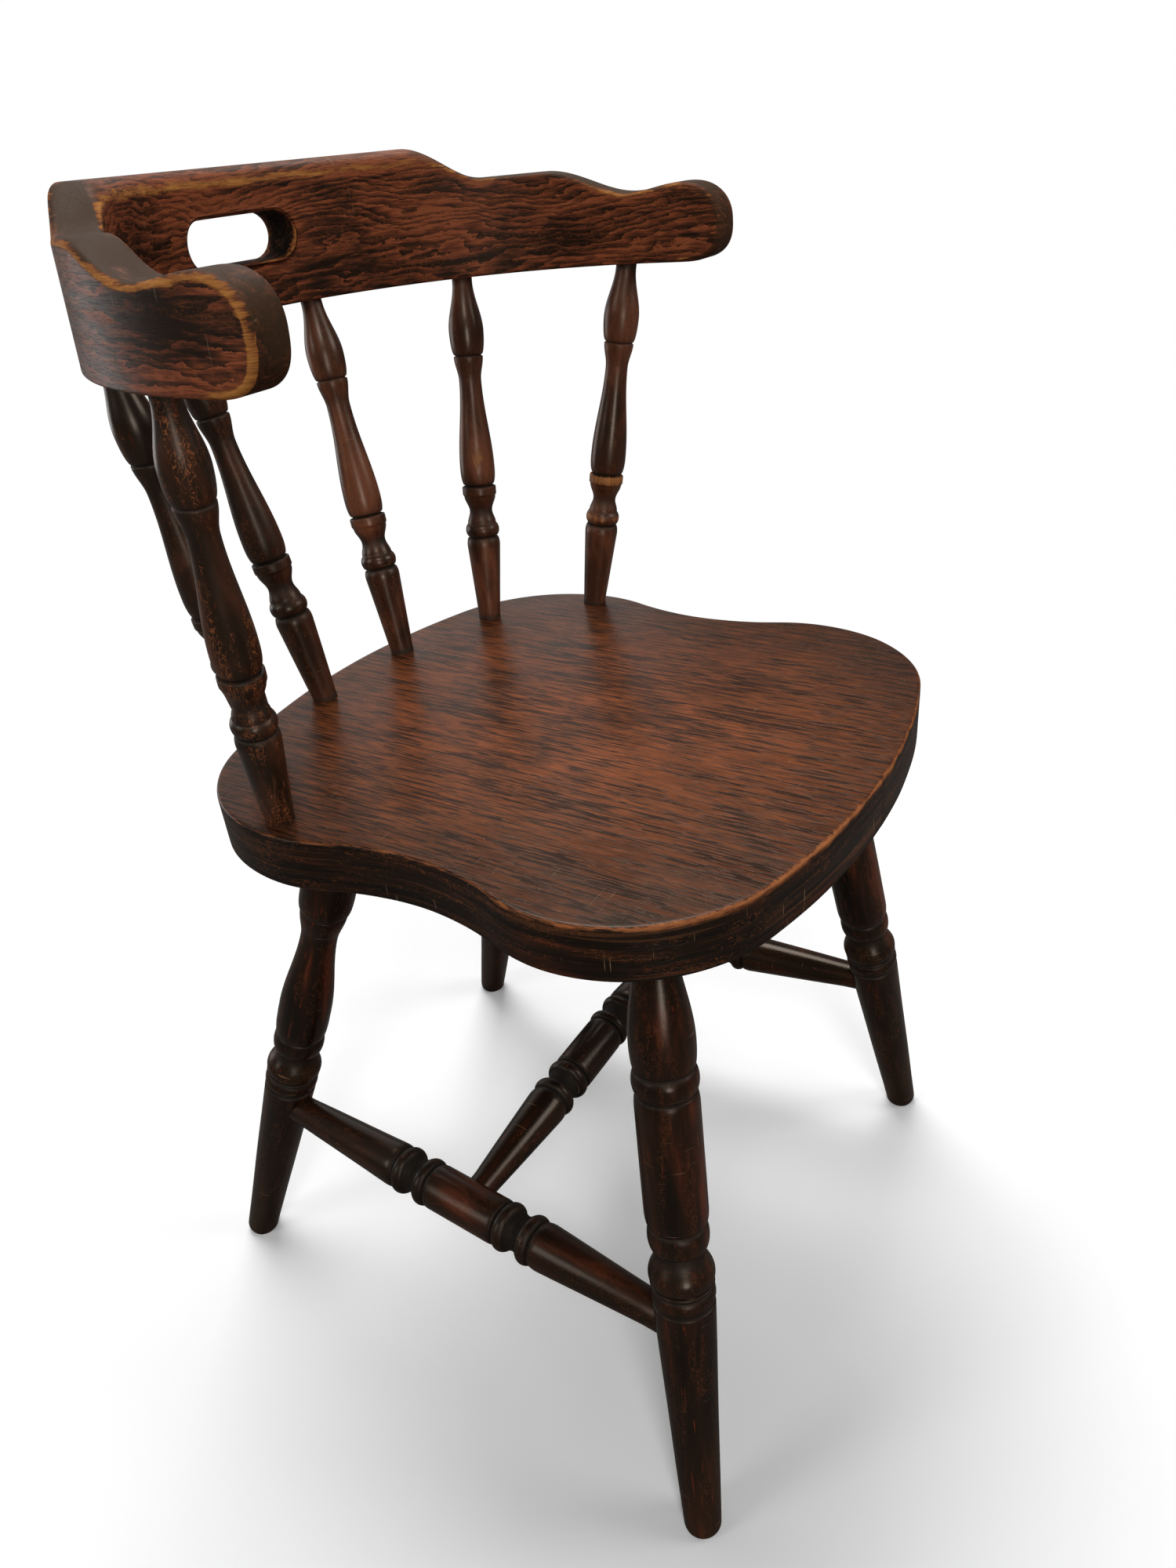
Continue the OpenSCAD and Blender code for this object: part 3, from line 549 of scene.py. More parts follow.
RAIL_STOPS = [(0.0, srgb(35, 21, 14)), (0.28, srgb(63, 35, 22)), (0.5, srgb(93, 49, 31)),
              (0.74, srgb(121, 62, 38)), (1.0, srgb(148, 80, 49))]
SEAT_STOPS = [(0.0, srgb(62, 36, 22)), (0.3, srgb(87, 47, 26)), (0.5, srgb(106, 57, 30)),
              (0.75, srgb(125, 66, 34)), (1.0, srgb(146, 77, 39))]
TURNED_STOPS = [(0.0, srgb(20, 13, 9)), (0.3, srgb(29, 18, 12)), (0.52, srgb(41, 25, 16)),
                (0.78, srgb(74, 41, 27)), (1.0, srgb(114, 66, 44))]
LEG_STOPS = [(0.0, srgb(12, 8, 5)), (0.3, srgb(19, 12, 8)), (0.52, srgb(28, 16, 9)),
             (0.78, srgb(49, 24, 14)), (1.0, srgb(88, 41, 24))]

rail_wood = stained_wood("rail_wood", RAIL_STOPS, (0.03, 0.0026, 0.004), (0.08, 0.022, 0.03),
                         (0.012, 0.0006, 0.002), jag=1.45, figure_gain=0.95, blotch_gain=0.75,
                         rough=0.4, specular=0.14, rings=(0.0046, 0.85))
seat_top = stained_wood("seat_top_wood", SEAT_STOPS, (0.02, 0.0032, 0.01), (0.05, 0.03, 0.05),
                        (0.03, 0.001, 0.004), jag=0.7, figure_gain=0.6, blotch_gain=0.5,
                        pore_dark=0.5, rough=0.27, specular=0.27, scratch=0.2,
                        dashes=(0.024, 0.0012, 0.004), wear_and_reflection_rim=(0.25, 0.18, 9.0), relief=0.3,
                        bare=(srgb(118, 64, 34), srgb(166, 102, 54)))
seat_side = stained_wood("seat_side_wood", LEG_STOPS, (0.08, 0.003, 0.004), (0.09, 0.02, 0.02),
                         (0.02, 0.0006, 0.002), figure_gain=0.7, rough=0.38, coords="rim",
                         lines=(0.25, 0.0046, 0.01), scratch=0.9, specular=0.26,
                         bare=(srgb(118, 64, 34), srgb(172, 106, 56)))
leg_wood = stained_wood("leg_wood", LEG_STOPS, (0.08, 0.008, 0.008), (0.09, 0.016, 0.016),
                        (0.008, 0.0005, 0.0005), jag=0.8, figure_gain=0.5, rough=0.2,
                        specular=0.36, scratch=0.45, streak=0.7, relief=0.1)
turned_wood = stained_wood("turned_wood", TURNED_STOPS, (0.06, 0.015, 0.015), (0.07, 0.03, 0.03),
                           (0.008, 0.0005, 0.0005), jag=0.8, figure_gain=0.3, rough=0.31,
                           specular=0.5, pore_dark=0.2, streak=0.3, relief=0.05)

# ---- Legs, stretchers and spindles ----


def dark_beads(beads):
    """The stain stays near black around the two beads of each half."""
    middle = (beads[0] + beads[1]) / 2
    return [(key, way * middle, 15, amount)
            for way in (1, -1) for key, amount in (("tone", -0.35), ("dirt_and_shade", 0.35))]


LEG_SEGMENTS, SPINDLE_SEGMENTS, STRETCHER_SEGMENTS = 80, 64, 64

for side, word in ((LEFT, "left"), (RIGHT, "right")):
    for foot, top, middle, where in ((front_foot, front_top, front_middle, "front"),
                                     (back_foot, back_top, back_middle, "back")):
        length = float(np.linalg.norm(top - foot))
        looks = turned_looks([("dust", 0, 90, 0.35), ("dust", 205, 22, 0.2), ("wear", 212, 3, 0.35)],
                             worn=0.05, fleck=0.22,
                             streaks=[("tone", 262, 26, 285, 60, 0.5), ("tone", 205, 10, 300, 30, 0.35)])
        turned_piece(f"leg_{where}_{word}", leg_lower() + middle(length) + leg_upper(length),
                     on_side(foot, side), on_side(top, side), leg_wood, LEG_SEGMENTS, looks,
                     11 + 2 * side + (3 if where == "front" else 8))

    leg_reach = COLLAR_D / 2 + PLAIN_RUN
    front_len = float(np.linalg.norm(stretch_front - side_mid))
    back_len = float(np.linalg.norm(stretch_back - side_mid))
    halves = [stretcher_half(SIDE_BEADS, n - leg_reach, n - TENON_STOP, STRETCH_END_D / 2)
              for n in (back_len, front_len)]
    looks = turned_looks([("wear", 0, 20, 0.12), ("tone", 0, 22, 0.4)] + dark_beads(SIDE_BEADS),
                         worn=0.08, fleck=0.2, dust=0.15)
    turned_piece(f"side_stretcher_{word}", both_ways(*halves), on_side(side_mid, side),
                 on_side(stretch_front, side), leg_wood, STRETCHER_SEGMENTS, looks, 31 + side)

    for plan, angle, where, seed in ((BACK_SPIN, BACK_HEAD_A, "back", 41),
                                     (MID_SPIN, MID_HEAD_A, "middle", 46),
                                     (FRONT_SPIN, FRONT_HEAD_A, "front", 51)):
        foot = vec(*plan, SEAT_H)
        a = math.radians(angle)
        head = vec(RAIL_R * math.sin(a), RAIL_CENTRE_Y + RAIL_R * math.cos(a), CREST_Z)
        length = float(np.linalg.norm(head - foot))
        # Dark rings where each spindle meets the seat and the crest: partly dirt in the joint, partly painted
        # shade
        patches = [("dirt_and_shade", 0, 2.5, 0.8), ("dirt_and_shade", length, 3, 0.8)]
        fleck, streaks = 0.35, []
        if where == "front" and side == LEFT:
            patches += [("wear", 98, 4, 1.2), ("wear", 69, 3.5, 0.9)]
        if where == "front" and side == RIGHT:
            fleck = 0.9
            patches += [("wear", 98, 1.5, 0.6)]
        if where == "middle" and side == LEFT:
            streaks = [("wear", 215, 40, 122, 9, 1.0), ("tone", 215, 60, 130, 30, 0.25)]
        if where == "back" and side == LEFT:
            streaks = [("tone", 215, 50, 125, 60, 0.5)]
        looks = turned_looks(patches, fleck=fleck, tone=0.27 if side == LEFT else 0.0, streaks=streaks)
        turned_piece(f"spindle_{where}_{word}", spindle_profile(length), on_side(foot, side),
                     on_side(head, side), turned_wood, SPINDLE_SEGMENTS, looks, seed + side)

half_len = float(side_mid[0])
half = stretcher_half(CENTRE_BEADS, half_len - STRETCH_D / 2 - PLAIN_RUN, half_len - TENON_STOP,
                      CENTRE_TENON_D / 2)
centre = vec(0, side_mid[1], side_mid[2])
turned_piece("centre_stretcher", both_ways(half, half), centre, centre + vec(1, 0, 0), leg_wood,
             STRETCHER_SEGMENTS, turned_looks([("tone", 0, 20, 0.1)] + dark_beads(CENTRE_BEADS), worn=0.06,
                                              fleck=0.2, dust=0.1), 61)

# ---- Seat ----


def arc(c, r, a0, a1):
    n = max(2, math.ceil(abs(a1 - a0)))
    angles = [math.radians(a0 + (a1 - a0) * i / n) for i in range(n + 1)]
    return [(c[0] + r * math.cos(t), c[1] + r * math.sin(t)) for t in angles]


def crossing_r(x, y, r, reach):
    return (x * x + (reach - y) ** 2 - r * r) / (2 * (reach - y - r))


def seat_half():
    corner, lobe = np.array(CORNER), np.array(LOBE)
    front_r = crossing_r(corner[0], -corner[1], CORNER_R, SEAT_FRONT)
    back_r = crossing_r(lobe[0], lobe[1], LOBE_R, SEAT_BACK)
    front_c, back_c = (0, front_r - SEAT_FRONT), (0, SEAT_BACK - back_r)
    d, r1, r2 = np.hypot(*(lobe - corner)), CORNER_R + WAIST_R, LOBE_R + WAIST_R
    q = (r1 * r1 - r2 * r2 + d * d) / (2 * d)
    h = math.sqrt(r1 * r1 - q * q)
    u = (lobe - corner) / d
    waist = corner + q * u + h * np.array([u[1], -u[0]])

    def heading(a, b):
        return math.degrees(math.atan2(b[1] - a[1], b[0] - a[0]))
    a1, a2 = heading(front_c, corner), heading(corner, waist)
    a3, a4 = heading(lobe, waist), heading(back_c, lobe)
    return (arc(front_c, front_r, -90, a1) + arc(corner, CORNER_R, a1, a2)
            + arc(waist, WAIST_R, a2 + 180, a3 + 180) + arc(lobe, LOBE_R, a3, a4)
            + arc(back_c, back_r, a4, 90))


def seat_outline(spacing=3.0):
    right = np.array(seat_half())
    whole, run = measured(np.concatenate([right, right[::-1] * [-1, 1]]))
    at = np.linspace(0, run[-1], int(run[-1] / spacing), endpoint=False)
    return points_at(at, whole, run), at


outline, perimeter = seat_outline()
tangent = np.roll(outline, -1, 0) - np.roll(outline, 1, 0)
tangent /= np.hypot(*tangent.T)[:, None]
outward = np.stack([tangent[:, 1], -tangent[:, 0]], 1)
TOP_EASE, UNDER_EASE, EASE_STEPS, SIDE_STEPS = 2.4, 1.6, 6, 12
INSETS = (4, 7, 11, 17, 26, 40)

rings = [(i, SEAT_UNDER, "top") for i in reversed(INSETS)]
for k in range(EASE_STEPS + 1):
    t = math.pi / 2 * k / EASE_STEPS
    rings.append((UNDER_EASE * (1 - math.sin(t)), SEAT_UNDER + UNDER_EASE * (1 - math.cos(t)), "side"))
for k in range(1, SIDE_STEPS):
    z = SEAT_UNDER + UNDER_EASE + (SEAT_T - UNDER_EASE - TOP_EASE) * k / SIDE_STEPS
    rings.append((0.0, z, "side"))
for k in range(EASE_STEPS + 1):
    t = math.pi / 2 * k / EASE_STEPS
    kind = "side" if 2 * k < EASE_STEPS else "top"
    rings.append((TOP_EASE * (1 - math.cos(t)), SEAT_H - TOP_EASE * (1 - math.sin(t)), kind))
rings += [(i, SEAT_H, "top") for i in INSETS]

count, seat_points, seat_values = len(outline), [], {k: [] for k in LOOKS}
front_share = smooth((-outline[:, 1] - 40) / 120)
near_corner = np.exp(-((outline[:, 0] + 100) ** 2 + (outline[:, 1] + 175) ** 2) / 90 ** 2)
for inset, z, kind in rings:
    plan = outline - outward * inset
    wob = 0.12 * np.sin(perimeter / 23) + 0.08 * np.sin(perimeter / 9 + 1)
    plan = plan - outward * (0.2 + wob)[:, None]
    seat_points.append(np.column_stack([plan, np.full(count, z)]))
    from_arris = math.hypot(max(inset - 0.7, 0) * 0.8, max(SEAT_H - 0.7 - z, 0) * 0.55)
    reach = 0.5 + 0.5 * front_share + 0.7 * near_corner
    seat_values["wear"].append(np.clip((reach - from_arris) / 2.0, -1, 1) - 0.2)
    # The side darkens over its last 3 mm above the underside
    low = np.clip((SEAT_UNDER + 3 - z) / 3, 0, 1)
    seat_values["dirt_and_shade"].append(np.full(count, 0.5 * low))
    seat_values["dust"].append(np.zeros(count))
    seat_values["tone"].append(np.full(count, -0.25 if z < SEAT_UNDER + 1 and kind == "top" else 0.0))
    seat_values["fleck"].append(np.full(count, 0.35 if kind == "side" else 0.12))
seat_points = np.concatenate(seat_points)
seat_values = {k: np.concatenate(v) for k, v in seat_values.items()}
seat_values["grain"] = seat_points[:, [1, 0, 2]] * MM
seat_values["rim"] = np.column_stack([np.tile(perimeter, len(rings)), seat_points[:, 2],
                                      np.zeros(len(seat_points))]) * MM
seat_faces = ring_faces(len(rings), count)
# Which material each face takes: 0 is the top's, 1 the side's
kinds = []
for k in range(len(rings) - 1):
    flat = rings[k][2] == "top" and rings[k + 1][2] == "top"
    first_flat = rings[k][2] == "top" and rings[k][1] < SEAT_H - TOP_EASE
    kinds += [0 if (flat or first_flat) else 1] * count
kinds += [0, 0]
seat_piece = add_mesh("seat_board", to_frame(seat_points), seat_faces, seat_values,
                      [seat_top, seat_side], kinds)
settle(seat_piece, "seat")

# ---- Crest and arm rail ----
BEND = RAIL_R * math.pi / 2
FALL_START = CREST_LEN / 2
FALL_END = FALL_START + FALL_LEN
DIP_START = FALL_END + SHOULDER_LEN
NOSE_START = BEND + ARM_LEN - NOSE_LEN
DIP_MID = NOSE_START - DIP_BACK
SLOT_MID, SLOT_R = SLOT_RISE + SLOT_H / 2, SLOT_H / 2
SLOT_STRAIGHT = (SLOT_LEN - SLOT_H) / 2
SLOT_EASE, UNDER_EDGE = 1.6, 1.4
FLARE_POWER = 1.4
NOSE_STEPS = 30


def ramp(s, s0, s1, h0, h1):
    u = np.clip((s - s0) / (s1 - s0), 0, 1)
    return h0 + (h1 - h0) * (1 - np.cos(np.pi * u)) / 2


def rail_top(s):
    s = np.abs(s)
    fall = ramp(s, FALL_START, FALL_END, CREST_H, SHOULDER_H)
    dip = ramp(s, DIP_START, DIP_MID, SHOULDER_H, DIP_H)
    hump = ramp(s, DIP_MID, NOSE_START, DIP_H, HUMP_H)
    return np.where(s < FALL_END, fall, np.where(s < DIP_MID, dip, hump))


# Columns: place along the bend, outline top and bottom, and the slot's half height there
columns = []
slot_edge = SLOT_R + SLOT_EASE
for x in np.linspace(0, SLOT_STRAIGHT, 11):
    columns.append((x, CREST_H, 0.0, slot_edge))
for t in np.linspace(90, 0, 13)[1:]:
    t = math.radians(t)
    columns.append((SLOT_STRAIGHT + slot_edge * math.cos(t), CREST_H, 0.0, slot_edge * math.sin(t)))
slot_columns = len(columns)
s = columns[-1][0]
step = 1.2
while s + step < NOSE_START:
    s += step
    step = min(step * 1.25, 2.6)
    columns.append((s, float(rail_top(s)), 0.0, 0.0))
for t in np.linspace(0, 90, NOSE_STEPS + 1):
    u, mid = math.sin(math.radians(t)), HUMP_H / 2
    high = (1 - u ** TOP_CURVE) ** (1 / TOP_CURVE)
    low = (1 - u ** BOTTOM_CURVE) ** (1 / BOTTOM_CURVE)
    columns.append((NOSE_START + NOSE_LEN * u, mid * (1 + high), mid * (1 - low), 0.0))
half_columns = np.array(columns)


def normals_of(s, z, sign):
    ds, dz = np.gradient(s), np.gradient(z)
    n = np.stack([-dz, ds], 1) * sign
    return n / np.hypot(*n.T)[:, None]


top_normal = normals_of(half_columns[:, 0], half_columns[:, 1], 1)
low_normal = normals_of(half_columns[:, 0], half_columns[:, 2], -1)
top_normal[-1] = low_normal[-1] = (1, 0)


def place(s, out, z):
    """A point of the rail. Near the slot a column keeps its sideways place through the thickness."""
    out = out - z * LEAN
    r = RAIL_R + out
    share = smooth((abs(s) - 50) / 60)
    angle = abs(s) / RAIL_R
    if share < 1:
        angle = (1 - share) * math.asin(min(abs(s) / r, 0.99)) + share * angle
    run = max(0.0, abs(s) - BEND) if share == 1 else 0.0
    angle = min(angle, math.pi / 2)
    return (math.copysign(r * math.sin(angle), s), RAIL_CENTRE_Y + r * math.cos(angle) - run, CREST_Z + z)


LOW_STEPS, UP_STEPS, ROUND_STEPS, FLAT_STEPS = 10, 10, 7, 6
rail_points, rail_faces, rail_grain = [], [], []
rail_values = {k: [] for k in LOOKS}
# The faces' outline as (place along the bend, height): the top edge, then back round the nose
face_line = np.stack([np.concatenate([half_columns[:, 0], half_columns[::-1, 0][:NOSE_STEPS]]),
                      np.concatenate([half_columns[:, 1], half_columns[::-1, 2][:NOSE_STEPS]])], 1)


def keep_point(point, grain, looks):
    rail_points.append(point)
    rail_grain.append(grain)
    for key, value in zip(LOOKS, looks):
        rail_values[key].append(value)
    return len(rail_points) - 1


def add_rail_point(s, out, z, wear, dirt_and_shade, dust, tone, fleck, depth):
    return keep_point(place(s, out, z), (s, z, depth), (wear, dirt_and_shade, dust, tone, fleck))


def outer_band(s, side):
    """How wide the bare band is on the outer face below its top arris."""
    width = -1.5 + 1.3 * smooth((s - FALL_END + 10) / 40)
    width += 1.2 * smooth((s - DIP_MID - 2) / 34)
    return width if side == RIGHT else width - 0.6


def inner_band(s, side):
    """The same on the sitter's side, about the roll."""
    raised = 2.8 * (1 - smooth((s - FALL_START - 30) / 30))
    arm = ((2.0 if side == LEFT else 1.1) * smooth((s - DIP_START - 10) / 40)
           * (1 - smooth((s - NOSE_START) / 20)))
    return max(raised, arm, 0.5)


def outer_tone(s, z):
    """The outer face's dark patch on the arm and its paler lower edge."""
    tone = -0.8 * math.exp(-((abs(s) - 304) / 38) ** 2 - ((z - 29) / 13) ** 2)
    return tone + 0.14 * math.exp(-((z - 4) / 9) ** 2) * smooth((abs(s) - 200) / 60)


def rail_ring(column, side, n_top, n_low):
    """The closed ring of points at a column, from the outer face's bottom round to the bottom face."""
    s, hi, lo, slot = column
    roll = float(ramp(s, FALL_START, FALL_START + ROLL_FADE, ROLL_R, EDGE_R))
    nose = smooth((s - NOSE_START + 12) / 30)
    under = UNDER_EDGE + (EDGE_R - UNDER_EDGE) * nose
    flare = float(ramp(s, FALL_START, FALL_END, CREST_FLARE, 0))
    t_nose = math.acos(min(1, max(0, 1 - max(0, s - NOSE_START) / NOSE_LEN)))
    wo = RAIL_T / 2
    wi = RAIL_T / 2 - NOSE_THIN * (1 - math.cos(t_nose))
    flare_z = FLARE_FROM * CREST_H

    def outer_out(z):
        return wo + flare * max(0.0, min(1, (z - flare_z) / (CREST_H - EDGE_R - flare_z))) ** FLARE_POWER

    def strip(edge_top, edge_low):
        """The flat of a face at this column: its bottom, its middle or the slot's, and its top."""
        top = np.array([s, hi]) - edge_top * n_top
        low = np.array([s, lo]) - edge_low * n_low
        share = smooth((s - 60) / 60)
        middle = (1 - share) * SLOT_MID + share * (low[1] + top[1]) / 2
        f = (middle - low[1]) / max(top[1] - low[1], 1e-6)
        mid = low + (top - low) * f
        return low, mid, top

    def face_distance(p):
        return float(np.min(np.hypot(*(face_line - p).T)))

    def rounded(z, radius, t, normal):
        return np.array([s, z]) - radius * (1 - math.sin(t)) * normal

    ids = []

    def outer_point(p):
        q = face_distance(p) - EDGE_R
        below = smooth((hi - 14 - p[1]) / 24) * nose
        wear = min((outer_band(s, side) - 1.4 * below - q) / 2.6, 1.0)
        # Dust and rougher varnish on the outer face at the bend: partly dust, partly a painted grazing sheen
        sheen_dust = 0.6 * smooth((s - FALL_END + 20) / 30) * (1 - smooth((s - FALL_END - 25) / 45))
        ids.append(add_rail_point(side * p[0], outer_out(p[1]), p[1], max(wear, -1) - 0.1, 0, sheen_dust,
                                  outer_tone(p[0], p[1]), 0.25, wo))

    def inner_point(p):
        q = face_distance(p) - roll
        wear = min((inner_band(s, side) - abs(q + (3.0 if roll > 6 else 1.0))) / 3.0, 1.0)
        # The sitter's side grows darker from the right arm (-X) towards the left arm (+X): a painted fall-off
        # of light along the crest
        ids.append(add_rail_point(side * p[0], -wi, p[1], max(wear, -1) - 0.15, 0, 0,
                                  0.1 - 0.17 * smooth((side * s + 60) / 200), 0.3, -wi))

    # Outer face, bottom to top
    low, mid, top = strip(EDGE_R, under)
    for k in range(LOW_STEPS):
        outer_point(low + (mid - vec(0, slot) - low) * k / LOW_STEPS)
    outer_point(mid - vec(0, slot))
    if slot > 0:
        outer_point(mid + vec(0, slot))
    else:
        ids.append(ids[-1])
    for k in range(1, UP_STEPS + 1):
        outer_point(mid + vec(0, slot) + (top - mid - vec(0, slot)) * k / UP_STEPS)
    # Top: outer arris, flat, roll on the sitter's side
    flare_top = outer_out(hi)
    nose_share = t_nose / (math.pi / 2)
    arm_share = float(smooth((s - FALL_START - 2) / 8))
    end_share = float(smooth((s - NOSE_START - 6) / 14))
    dusty = 0.5 + 0.9 * arm_share - 0.5 * nose_share
    for k in range(1, ROUND_STEPS + 1):
        t = math.pi / 2 * k / ROUND_STEPS
        p = rounded(hi, EDGE_R, t, n_top)
        wear = (outer_band(s, side) + EDGE_R * (1.2 - 1.6 * k / ROUND_STEPS)) / 4.0
        ids.append(add_rail_point(side * p[0], flare_top - EDGE_R * (1 - math.cos(t)), p[1],
                                  min(wear, 1.0) - 0.1, 0, dusty * k / ROUND_STEPS, 0, 0.2, wo))
    o0, o1 = flare_top - EDGE_R, -wi + roll
    for k in range(1, FLAT_STEPS + 1):
        out = o0 + (o1 - o0) * k / FLAT_STEPS
        wear = max(-0.25 - min(o0 - out, 40) / 3.0, -0.75)
        ids.append(add_rail_point(side * s, out, hi, wear, 0.12 * nose_share ** 3, dusty, -0.05, 0.1, out))
    for k in range(1, ROUND_STEPS + 1):
        t = math.pi / 2 * (1 - k / ROUND_STEPS)
        p = rounded(hi, roll, t, n_top)
        centre = -3.0 if roll > 6 else -roll * 0.7
        wear = min((inner_band(s, side) - abs(-roll * t - centre)) / 3.0, 1.0)
        dust = max(dusty * t / (math.pi / 2), 0.9 * end_share)
        ids.append(add_rail_point(side * p[0], -wi + roll * (1 - math.cos(t)), p[1],
                                  max(wear, -0.8) - 0.15, 0, dust, 0.3 * (1 - end_share),
                                  0.2 * (1 - end_share), -wi))
    # Inner face, top to bottom
    low, mid, top = strip(roll, under)
    for k in range(1, UP_STEPS):
        inner_point(top + (mid + vec(0, slot) - top) * k / UP_STEPS)
    inner_point(mid + vec(0, slot))
    if slot > 0:
        inner_point(mid - vec(0, slot))
    else:
        ids.append(ids[-1])
    for k in range(1, LOW_STEPS + 1):
        inner_point(mid - vec(0, slot) + (low - mid + vec(0, slot)) * k / LOW_STEPS)
    # Underside: inner edge, flat, outer edge
    edge_band = 0.1 + 4.5 * nose if side == RIGHT else 0.1 + 3.0 * nose
    # The underside is darker in colour, most where it turns up into the lower part of the nose end
    underside_dark = 0.3 + (0.55 * float(nose) - 0.65 * nose_share)
    end_dust = 0.9 * nose_share
    for k in range(1, ROUND_STEPS + 1):
        t = math.pi / 2 * k / ROUND_STEPS
        p = rounded(lo, under, t, n_low)
        ids.append(add_rail_point(side * p[0], -wi + under * (1 - math.cos(t)), p[1],
                                  -0.5, underside_dark, end_dust, 0, 0.1, -wi))
    o0, o1 = -wi + under, wo - under
    for k in range(1, FLAT_STEPS + 1):
        out = o0 + (o1 - o0) * k / FLAT_STEPS
        ids.append(add_rail_point(side * s, out, lo, -0.8, underside_dark, end_dust, -0.1, 0.1, out))
    for k in range(1, ROUND_STEPS):
        t = math.pi / 2 * (1 - k / ROUND_STEPS)
        p = rounded(lo, under, t, n_low)
        wear = (edge_band - 2 + 3 * k / ROUND_STEPS) / 4.0 - 0.3
        ids.append(add_rail_point(side * p[0], wo - under * (1 - math.cos(t)), p[1],
                                  min(max(wear, -0.6), 0.9), 0, 0, 0, 0.1, wo))
    return ids


order = [(k, RIGHT) for k in range(len(half_columns) - 1, 0, -1)]
order += [(k, LEFT) for k in range(len(half_columns))]
rail_rings = [rail_ring(half_columns[k], side, top_normal[k], low_normal[k]) for k, side in order]
# A ring's steps that cross the slot, where the faces stay open
OUT_SPLIT = LOW_STEPS
IN_SPLIT = LOW_STEPS + 1 + UP_STEPS + 2 * ROUND_STEPS + FLAT_STEPS + UP_STEPS
for here, after in zip(rail_rings[:-1], rail_rings[1:]):
    for k in range(len(here)):
        if k not in (OUT_SPLIT, IN_SPLIT):
            j = (k + 1) % len(here)
            rail_faces.append([here[k], after[k], after[j], here[j]])

# The slot's wall, with eased edges, between the rims left in the two faces
middle_column = len(half_columns) - 1
cols = range(middle_column - slot_columns + 1, middle_column + slot_columns)
rims = {}
for word, low_k, up_k in (("outer", OUT_SPLIT, OUT_SPLIT + 1), ("inner", IN_SPLIT + 1, IN_SPLIT)):
    lower = [rail_rings[c][low_k] for c in cols]
    upper = [rail_rings[c][up_k] for c in reversed(cols)]
    rims[word] = lower + upper[1:-1]
rim_x, rim_z, rim_nx, rim_nz = [], [], [], []
for c in cols:
    k = abs(c - middle_column)
    side = 1 if c >= middle_column else -1
    x, half_h = half_columns[k, 0], half_columns[k, 3]
    nx = max(0.0, (x - SLOT_STRAIGHT) / slot_edge)
    nz = math.sqrt(max(0.0, 1 - nx * nx))
    rim_x.append(side * (x - nx * SLOT_EASE))
    rim_nx.append(side * nx)
    rim_z.append(-(half_h - nz * SLOT_EASE))
    rim_nz.append(-nz)
inner_part = range(len(rim_x) - 2, 0, -1)
rim_x += [rim_x[k] for k in inner_part]
rim_nx += [rim_nx[k] for k in inner_part]
rim_z += [-rim_z[k] for k in inner_part]
rim_nz += [-rim_nz[k] for k in inner_part]
rim_x, rim_z, rim_nx, rim_nz = map(np.array, (rim_x, rim_z, rim_nx, rim_nz))


def slot_ring(inner, offset, depth, wear, dirt_and_shade):
    ids = []
    for x0, z0, nx, nz in zip(rim_x, rim_z, rim_nx, rim_nz):
        x, z = x0 + offset * nx, SLOT_MID + z0 + offset * nz
        rise = (z - FLARE_FROM * CREST_H) / (CREST_H * (1 - FLARE_FROM) - EDGE_R)
        flared = CREST_FLARE * max(0.0, rise) ** FLARE_POWER
        out = (-RAIL_T / 2 if inner else RAIL_T / 2 + flared) - z * LEAN
        y = RAIL_CENTRE_Y + math.sqrt((RAIL_R + out) ** 2 - x * x) + (depth if inner else -depth)
        lower_right = smooth((x - 5) / 25) * (1.0 if nz < 0.3 else 0.0)
        ids.append(keep_point((x, y, CREST_Z + z),
                              (x, z, -RAIL_T / 2 + depth if inner else RAIL_T / 2 - depth),
                              (wear + 0.75 * lower_right * (wear > -0.7), dirt_and_shade, 0, -0.1, 0.05)))
    return ids


WALL_STEPS, WALL_SPACING = 4, 4.0


def eased_ring(inner, k):
    t = math.pi / 2 * k / WALL_STEPS
    return slot_ring(inner, SLOT_EASE * (1 - math.sin(t)), SLOT_EASE * (1 - math.cos(t)),
                     -0.12 - 0.12 * k, 0.16 * k)


# Inside the slot the wall turns near black, partly already over its eased edges: partly dirt, partly painted
# shade in the slot
inward = range(1, WALL_STEPS + 1)
wall = [rims["inner"]] + [eased_ring(True, k) for k in inward]
wall += [slot_ring(True, 0.0, SLOT_EASE + WALL_SPACING * k, -0.9, 1.0) for k in inward]
wall += [eased_ring(False, k) for k in reversed(inward)] + [rims["outer"]]
n_rim = len(rims["inner"])
for u, v in zip(wall[:-1], wall[1:]):
    for k in range(n_rim):
        j = (k + 1) % n_rim
        rail_faces.append([u[k], u[j], v[j], v[k]])

rail_values = {k: np.array(v) for k, v in rail_values.items()}
rail_values["grain"] = np.array(rail_grain) * MM + 0.7
rail_piece = add_mesh("crest_rail", to_frame(rail_points), rail_faces, rail_values, [rail_wood])
joined = bmesh.new()
joined.from_mesh(rail_piece.data)
bmesh.ops.remove_doubles(joined, verts=joined.verts, dist=1e-6)
joined.to_mesh(rail_piece.data)
joined.free()
settle(rail_piece, "crest_and_arm_rail")

# ---- Floor, light and camera ----


# Metres from the middle where the floor's shadow starts to fade and is gone
FADE_START, FADE_END = 0.45, 1.5
# Floor and world as the camera sees them, and as they light the chair
FLOOR_HALF = 30.0
FLOOR_SEEN, FLOOR_BOUNCE = (0.94, 0.94, 0.94, 1), (0.13, 0.12, 0.11, 1)
WHITE, WORLD_SEEN, WORLD_LIGHT = (1, 1, 1, 1), 1.0, 0.15


